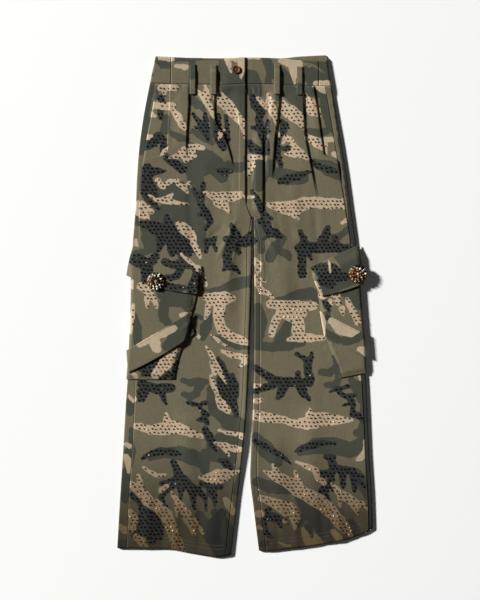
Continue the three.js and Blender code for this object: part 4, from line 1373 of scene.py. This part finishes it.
dice = random.Random(7)
for side, word in SIDES:
    out, y = np.meshgrid(np.arange(-20, 262, STONE_PITCH), np.arange(-530, 476, STONE_ROW))
    out = out + STONE_PITCH / 2 * (np.arange(len(out)) % 2)[:, None]
    wander = np.array([[dice.uniform(-1, 1), dice.uniform(-1, 1)] for _ in range(out.size)])
    x = side * out.ravel() + wander[:, 0] * STONE_JITTER
    y = y.ravel() + wander[:, 1] * STONE_JITTER
    bare = surface_of((f"pocket_strap_{word}", *(n for n, s, _ in LOOPS if s == side)))
    parts = list(jewelled_parts(side, word))
    owner = np.full(len(x), -1)
    for i in range(len(x)):
        tops = [first_hit(tree, x[i], y[i])[0] for tree, _, _ in parts]
        if first_hit(bare, x[i], y[i])[0] is None:
            found = [k for k, hit in enumerate(tops) if hit is not None]
            owner[i] = max(found, key=lambda k: tops[k].z, default=-1)
    # the back panel carries stones beside the inseam alone
    owner[(owner == len(parts) - 1) & (side * x > 120)] = -1
    for kind, colour, covers, stone_radius in STONES:
        bm = bmesh.new()
        tint = bm.faces.layers.float.new("tint")
        for k, (tree, colours, half) in enumerate(parts):
            inside = depth_in(colours.get(colour, ""), x, y) > STONE_MARGIN
            for cover in covers:
                inside &= depth_in(colours.get(cover, ""), x, y) < -STONE_MARGIN
            for i in np.flatnonzero(inside & (owner == k)):
                hit, normal = first_hit(tree, x[i], y[i])[:2]
                normal = normal if normal.z > 0 else -normal
                ring = [
                    first_hit(tree, x[i] + dx, y[i] + dy)[0]
                    for dx, dy in ((2.2, 0), (-2.2, 0), (0, 2.2), (0, -2.2))
                ]
                if None in ring or normal.z < 0.8:
                    continue
                place = hit + normal * (half + STONE_HEIGHT * 0.4) * MM
                turn = normal.to_track_quat("Z", "Y").to_matrix().to_4x4()
                spin = Matrix.Rotation(dice.uniform(0, 1), 4, "Z")
                before = len(bm.faces)
                bmesh.ops.create_cone(
                    bm, cap_ends=True, segments=7, radius1=stone_radius * MM,
                    radius2=stone_radius * STONE_TABLE_SHARE * MM, depth=STONE_HEIGHT * MM,
                    matrix=Matrix.Translation(place) @ turn @ spin,
                )
                bm.faces.ensure_lookup_table()
                shade = dice.random()
                for face in bm.faces[before:]:
                    face[tint] = shade
        mesh = bpy.data.meshes.new(f"stones_{kind}_{word}")
        bm.to_mesh(mesh)
        bm.free()
        mesh.materials.append(STONE_FINISH[kind])
        stones = bpy.data.objects.new(mesh.name, mesh)
        bpy.context.scene.collection.objects.link(stones)
        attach(stones, "root")

# Brooches: a low dome of dark cast metal on each flap, paved with round stones in rings, clear
# and aurora-coated ones among amber and smoke-brown ones, which stand at slightly uneven angles.
BROOCH_RADIUS, BROOCH_HEIGHT, BROOCH_FALL = 19.5, 5.5, 4.2
BROOCH_FLOOR = 12.75
BROOCHES = {RIGHT: (191, 53), LEFT: (242, 69)}
BROOCH_RINGS = ((0, 1, 3.3), (6.9, 6, 2.9), (12.4, 10, 3.1), (17, 13, 2.8))
GEM_HEIGHT = 2.8
GEM_FINISH = facet_finish("brooch_crystal", (
    (0, (26, 16, 14)), (0.24, (50, 30, 22)), (0.38, (122, 68, 32)), (0.54, (206, 138, 70)),
    (0.66, (116, 124, 112)), (0.84, (190, 202, 192)), (1, (255, 252, 244)),
))
pewter = Finish("dark_brooch_metal", {"Metallic": 1, "Roughness": 0.4})
pewter_at = pewter.node("ShaderNodeTexCoord", {}, {}, "Object")
pewter_grain = pewter.noise(pewter_at, 900, 3)
pewter.feed("Base Color", pewter.blend(pewter_grain, dyed(38, 30, 26), dyed(92, 76, 60)))
pewter.feed("Roughness", 0.28 + pewter_grain * 0.3)
pewter.bump(pewter_grain * (0.15 * MM))


def dome_height(radius):
    return BROOCH_HEIGHT - BROOCH_FALL * (radius / BROOCH_RADIUS) ** 2


def spun(bm, outline, steps):
    """Spins an outline of radius and height in mm, all the way round the Z axis."""
    ring = [bm.verts.new((radius * MM, 0, z * MM)) for radius, z in outline]
    edges = [bm.edges.new(pair) for pair in zip(ring, ring[1:])]
    bmesh.ops.spin(
        bm, geom=ring + edges, cent=(0, 0, 0), axis=(0, 0, 1), angle=2 * math.pi, steps=steps,
        use_merge=True,
    )
    bmesh.ops.remove_doubles(bm, verts=bm.verts, dist=1e-5)
    bmesh.ops.recalc_face_normals(bm, faces=bm.faces)


def small_part(name, bm, finishes):
    mesh = bpy.data.meshes.new(name)
    bm.to_mesh(mesh)
    bm.free()
    for finish in finishes:
        mesh.materials.append(finish)
    part = bpy.data.objects.new(name, mesh)
    bpy.context.scene.collection.objects.link(part)
    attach(part, "root")
    return part


for side, word in SIDES:
    bm = bmesh.new()
    outline = [(0, 0), (BROOCH_RADIUS - 0.6, 0), (BROOCH_RADIUS, 0.4)]
    outline += [(BROOCH_RADIUS * t, dome_height(BROOCH_RADIUS * t) - 0.6) for t in (1, 0.96)]
    outline += [(BROOCH_RADIUS * t, dome_height(BROOCH_RADIUS * t) - 0.4) for t in (0.8, 0.5, 0.2)]
    spun(bm, [*outline, (0, dome_height(0) - 0.4)], 48)
    for face in bm.faces:
        face.smooth = True
    tint = bm.faces.layers.float.new("tint")
    for ring_radius, count, gem_radius in BROOCH_RINGS:
        for k in range(count):
            angle = 2 * math.pi * (k + dice.uniform(-0.12, 0.12)) / count + ring_radius
            radius = ring_radius + dice.uniform(-0.5, 0.5) * (ring_radius > 0)
            tilt = math.atan(2 * BROOCH_FALL * radius / BROOCH_RADIUS**2) + dice.uniform(-0.16, 0.16)
            at = Vector((radius, 0, dome_height(radius) + GEM_HEIGHT * 0.2)) * MM
            size = gem_radius * dice.uniform(0.88, 1.08)
            before = len(bm.faces)
            bmesh.ops.create_cone(
                bm, cap_ends=True, segments=8, radius1=size * MM, radius2=size * 0.52 * MM,
                depth=GEM_HEIGHT * 0.7 * MM,
                matrix=Matrix.Rotation(angle, 4, "Z") @ Matrix.Translation(at)
                @ Matrix.Rotation(tilt, 4, "Y") @ Matrix.Rotation(dice.uniform(0, 1), 4, "Z"),
            )
            bm.faces.ensure_lookup_table()
            shade = dice.random()
            for face in bm.faces[before:]:
                face[tint] = min(1, max(0, shade + dice.uniform(-0.12, 0.12)))
                face.material_index = 1
    place = (side * BROOCHES[side][0], BROOCHES[side][1], BROOCH_FLOOR)
    bmesh.ops.translate(bm, vec=Vector(place) * MM, verts=bm.verts)
    brooch = small_part(f"jewelled_brooch_{word}", bm, (pewter.material, GEM_FINISH))
    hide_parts(f"brooch_{word}")

# Waist button: a dished disc of antique brass with a rolled rim, sewn on the waistband's lap
# below the left end of its buttonhole.
BUTTON_X, BUTTON_Y, BUTTON_FLOOR = -18.9, 507.5, 9.7
BUTTON_PROFILE = (
    (0, 0), (6.6, 0), (8, 0.5), (8.5, 1.4), (8.2, 2.2), (7.5, 2.6), (6.7, 2.3), (6, 1.6),
    (4.4, 1.3), (2, 1.5), (0, 1.6),
)
brass = Finish("antique_brass", {"Metallic": 0.8, "Roughness": 0.55})
brass_at = brass.node("ShaderNodeTexCoord", {}, {}, "Object")
tarnish = brass.noise(brass_at, 420, 4)
brass.feed("Base Color", brass.blend(tarnish, dyed(58, 42, 28), dyed(122, 92, 52)))
brass.feed("Roughness", 0.42 + tarnish * 0.3)
brass.bump(tarnish * (0.3 * MM) + brass.noise(brass_at, 1400, 2) * (0.1 * MM))
bm = bmesh.new()
spun(bm, BUTTON_PROFILE, 48)
for face in bm.faces:
    face.smooth = True
bmesh.ops.translate(bm, vec=Vector((BUTTON_X, BUTTON_Y, BUTTON_FLOOR)) * MM, verts=bm.verts)
button = small_part("brass_waist_button", bm, (brass.material,))
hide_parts("waist_button")

# Sewing: rows of lockstitch in olive thread along the seams, and closer zigzag stitches round
# the buttonhole. Each stitch is a short bead of thread half sunk in the cloth.
STITCH_PITCH, STITCH_LENGTH, THREAD = 3.4, 2.5, 0.32
thread = Finish("olive_thread", {"Roughness": 0.75})
thread_at = thread.node("ShaderNodeTexCoord", {}, {}, "Object")
fibre = thread.noise(thread_at, 2600, 2)
thread.feed("Base Color", thread.blend(fibre, dyed(74, 70, 50), dyed(128, 120, 90)))
thread.bump(fibre * (0.1 * MM))


def seam_line(place, points, outward):
    """Places in mm along a line of u, v on a woven piece, on its outer face."""
    count = 240
    t = np.linspace(0, 1, count)
    table = np.array(points, float)
    stops = np.linspace(0, 1, len(table))
    u, v = (np.interp(t, stops, table[:, k]) for k in (0, 1))
    x, y, z = (np.asarray(axis, float) + 0 * t for axis in place(u, v))
    return np.stack((x, y, z + outward), 1)


def sew(bm, path, pitch=STITCH_PITCH, length=STITCH_LENGTH, thick=THREAD):
    """Lays stitches along a path, each along the path where it lies."""
    steps = np.linalg.norm(np.diff(path, axis=0), axis=1)
    walked = np.concatenate(([0], np.cumsum(steps)))
    for s in np.arange(pitch, walked[-1] - pitch / 2, pitch):
        ends = [
            Vector([np.interp(s + d, walked, path[:, k]) for k in range(3)])
            for d in (-length / 2, length / 2)
        ]
        along = ends[1] - ends[0]
        turn = along.to_track_quat("X", "Z").to_matrix().to_4x4()
        grow = Matrix.Diagonal((length / 2, thick, thick, 1)) * MM
        grow[3][3] = 1
        middle = Matrix.Translation((ends[0] + ends[1]) / 2 * MM)
        bmesh.ops.create_icosphere(bm, subdivisions=1, radius=1, matrix=middle @ turn @ grow)


for side, word in SIDES:
    bm = bmesh.new()
    front, pocket = front_place(side), pocket_place(side)
    skin, double = CLOTH / 2, DOUBLE_CLOTH / 2
    for row_v in (0.016, 0.024):
        sew(bm, seam_line(front, ((0.01, row_v), (0.99, row_v)), skin))
    for inset in (0.012, 0.03):
        sew(bm, seam_line(front, ((inset, 0.8), (inset, 0.985)), skin))
    sew(bm, seam_line(front, ((0.006, 0.02), (0.006, 0.78)), skin))
    for inset in ((0.02, 0.05) if side == RIGHT else ()):
        sew(bm, seam_line(front, ((1 - inset, 0.745), (1 - inset, 0.985)), skin))
    band = band_front_place(side)
    for row_v in (0.06, 0.94):
        sew(bm, seam_line(band, ((0.01, row_v), (0.99, row_v)), BAND_CLOTH / 2))
    for inset in (0.03, 0.06):
        sew(bm, seam_line(pocket, ((inset, 0.02), (inset, 0.98)), skin))
    sew(bm, seam_line(pocket, ((0.02, 0.02), (0.78, 0.02)), skin))
    for table, sewn_top in ((FLAPS[side], True), (STRAPS[side], False)):
        cover = cover_place(side, table, sewn_top)
        ring = ((0.99, 0.94), (0.03, 0.94), (0.03, 0.06), (0.97, 0.06), (0.97, 0.94))
        for start, end in zip(ring, ring[1:]):
            sew(bm, seam_line(cover, (start, end), double))
        if sewn_top:
            sew(bm, seam_line(cover, ((0.03, 0.84), (0.97, 0.84)), double))
    for name, loop_side, loop_out in LOOPS:
        if loop_side == side:
            loop = loop_place(side, loop_out)
            for inset in (0.14, 0.86):
                sew(bm, seam_line(loop, ((inset, 0.03), (inset, 0.97)), double))
            for row_v in (0.1, 0.9):
                sew(bm, seam_line(loop, ((0.1, row_v), (0.9, row_v)), double), 1.6, 1.9, 0.4)
    if side == RIGHT:
        for row, shift in ((-1, 1.1), (1, -1.1)):
            bar = [(t, 0.5 * math.sin(40 * t)) for t in np.linspace(-7.5, 7.5, 60)]
            path = np.array([(BUTTON_X - 7 + a, BUTTON_Y + 2 + row * 1.1 + b, 0) for a, b in bar])
            path[:, 2] = BAND_TOP_Z + BAND_LAP_RISE + BAND_CLOTH / 2
            sew(bm, path, 0.7, 1.9, 0.5)
    small_part(f"stitches_{word}", bm, (thread.material,))
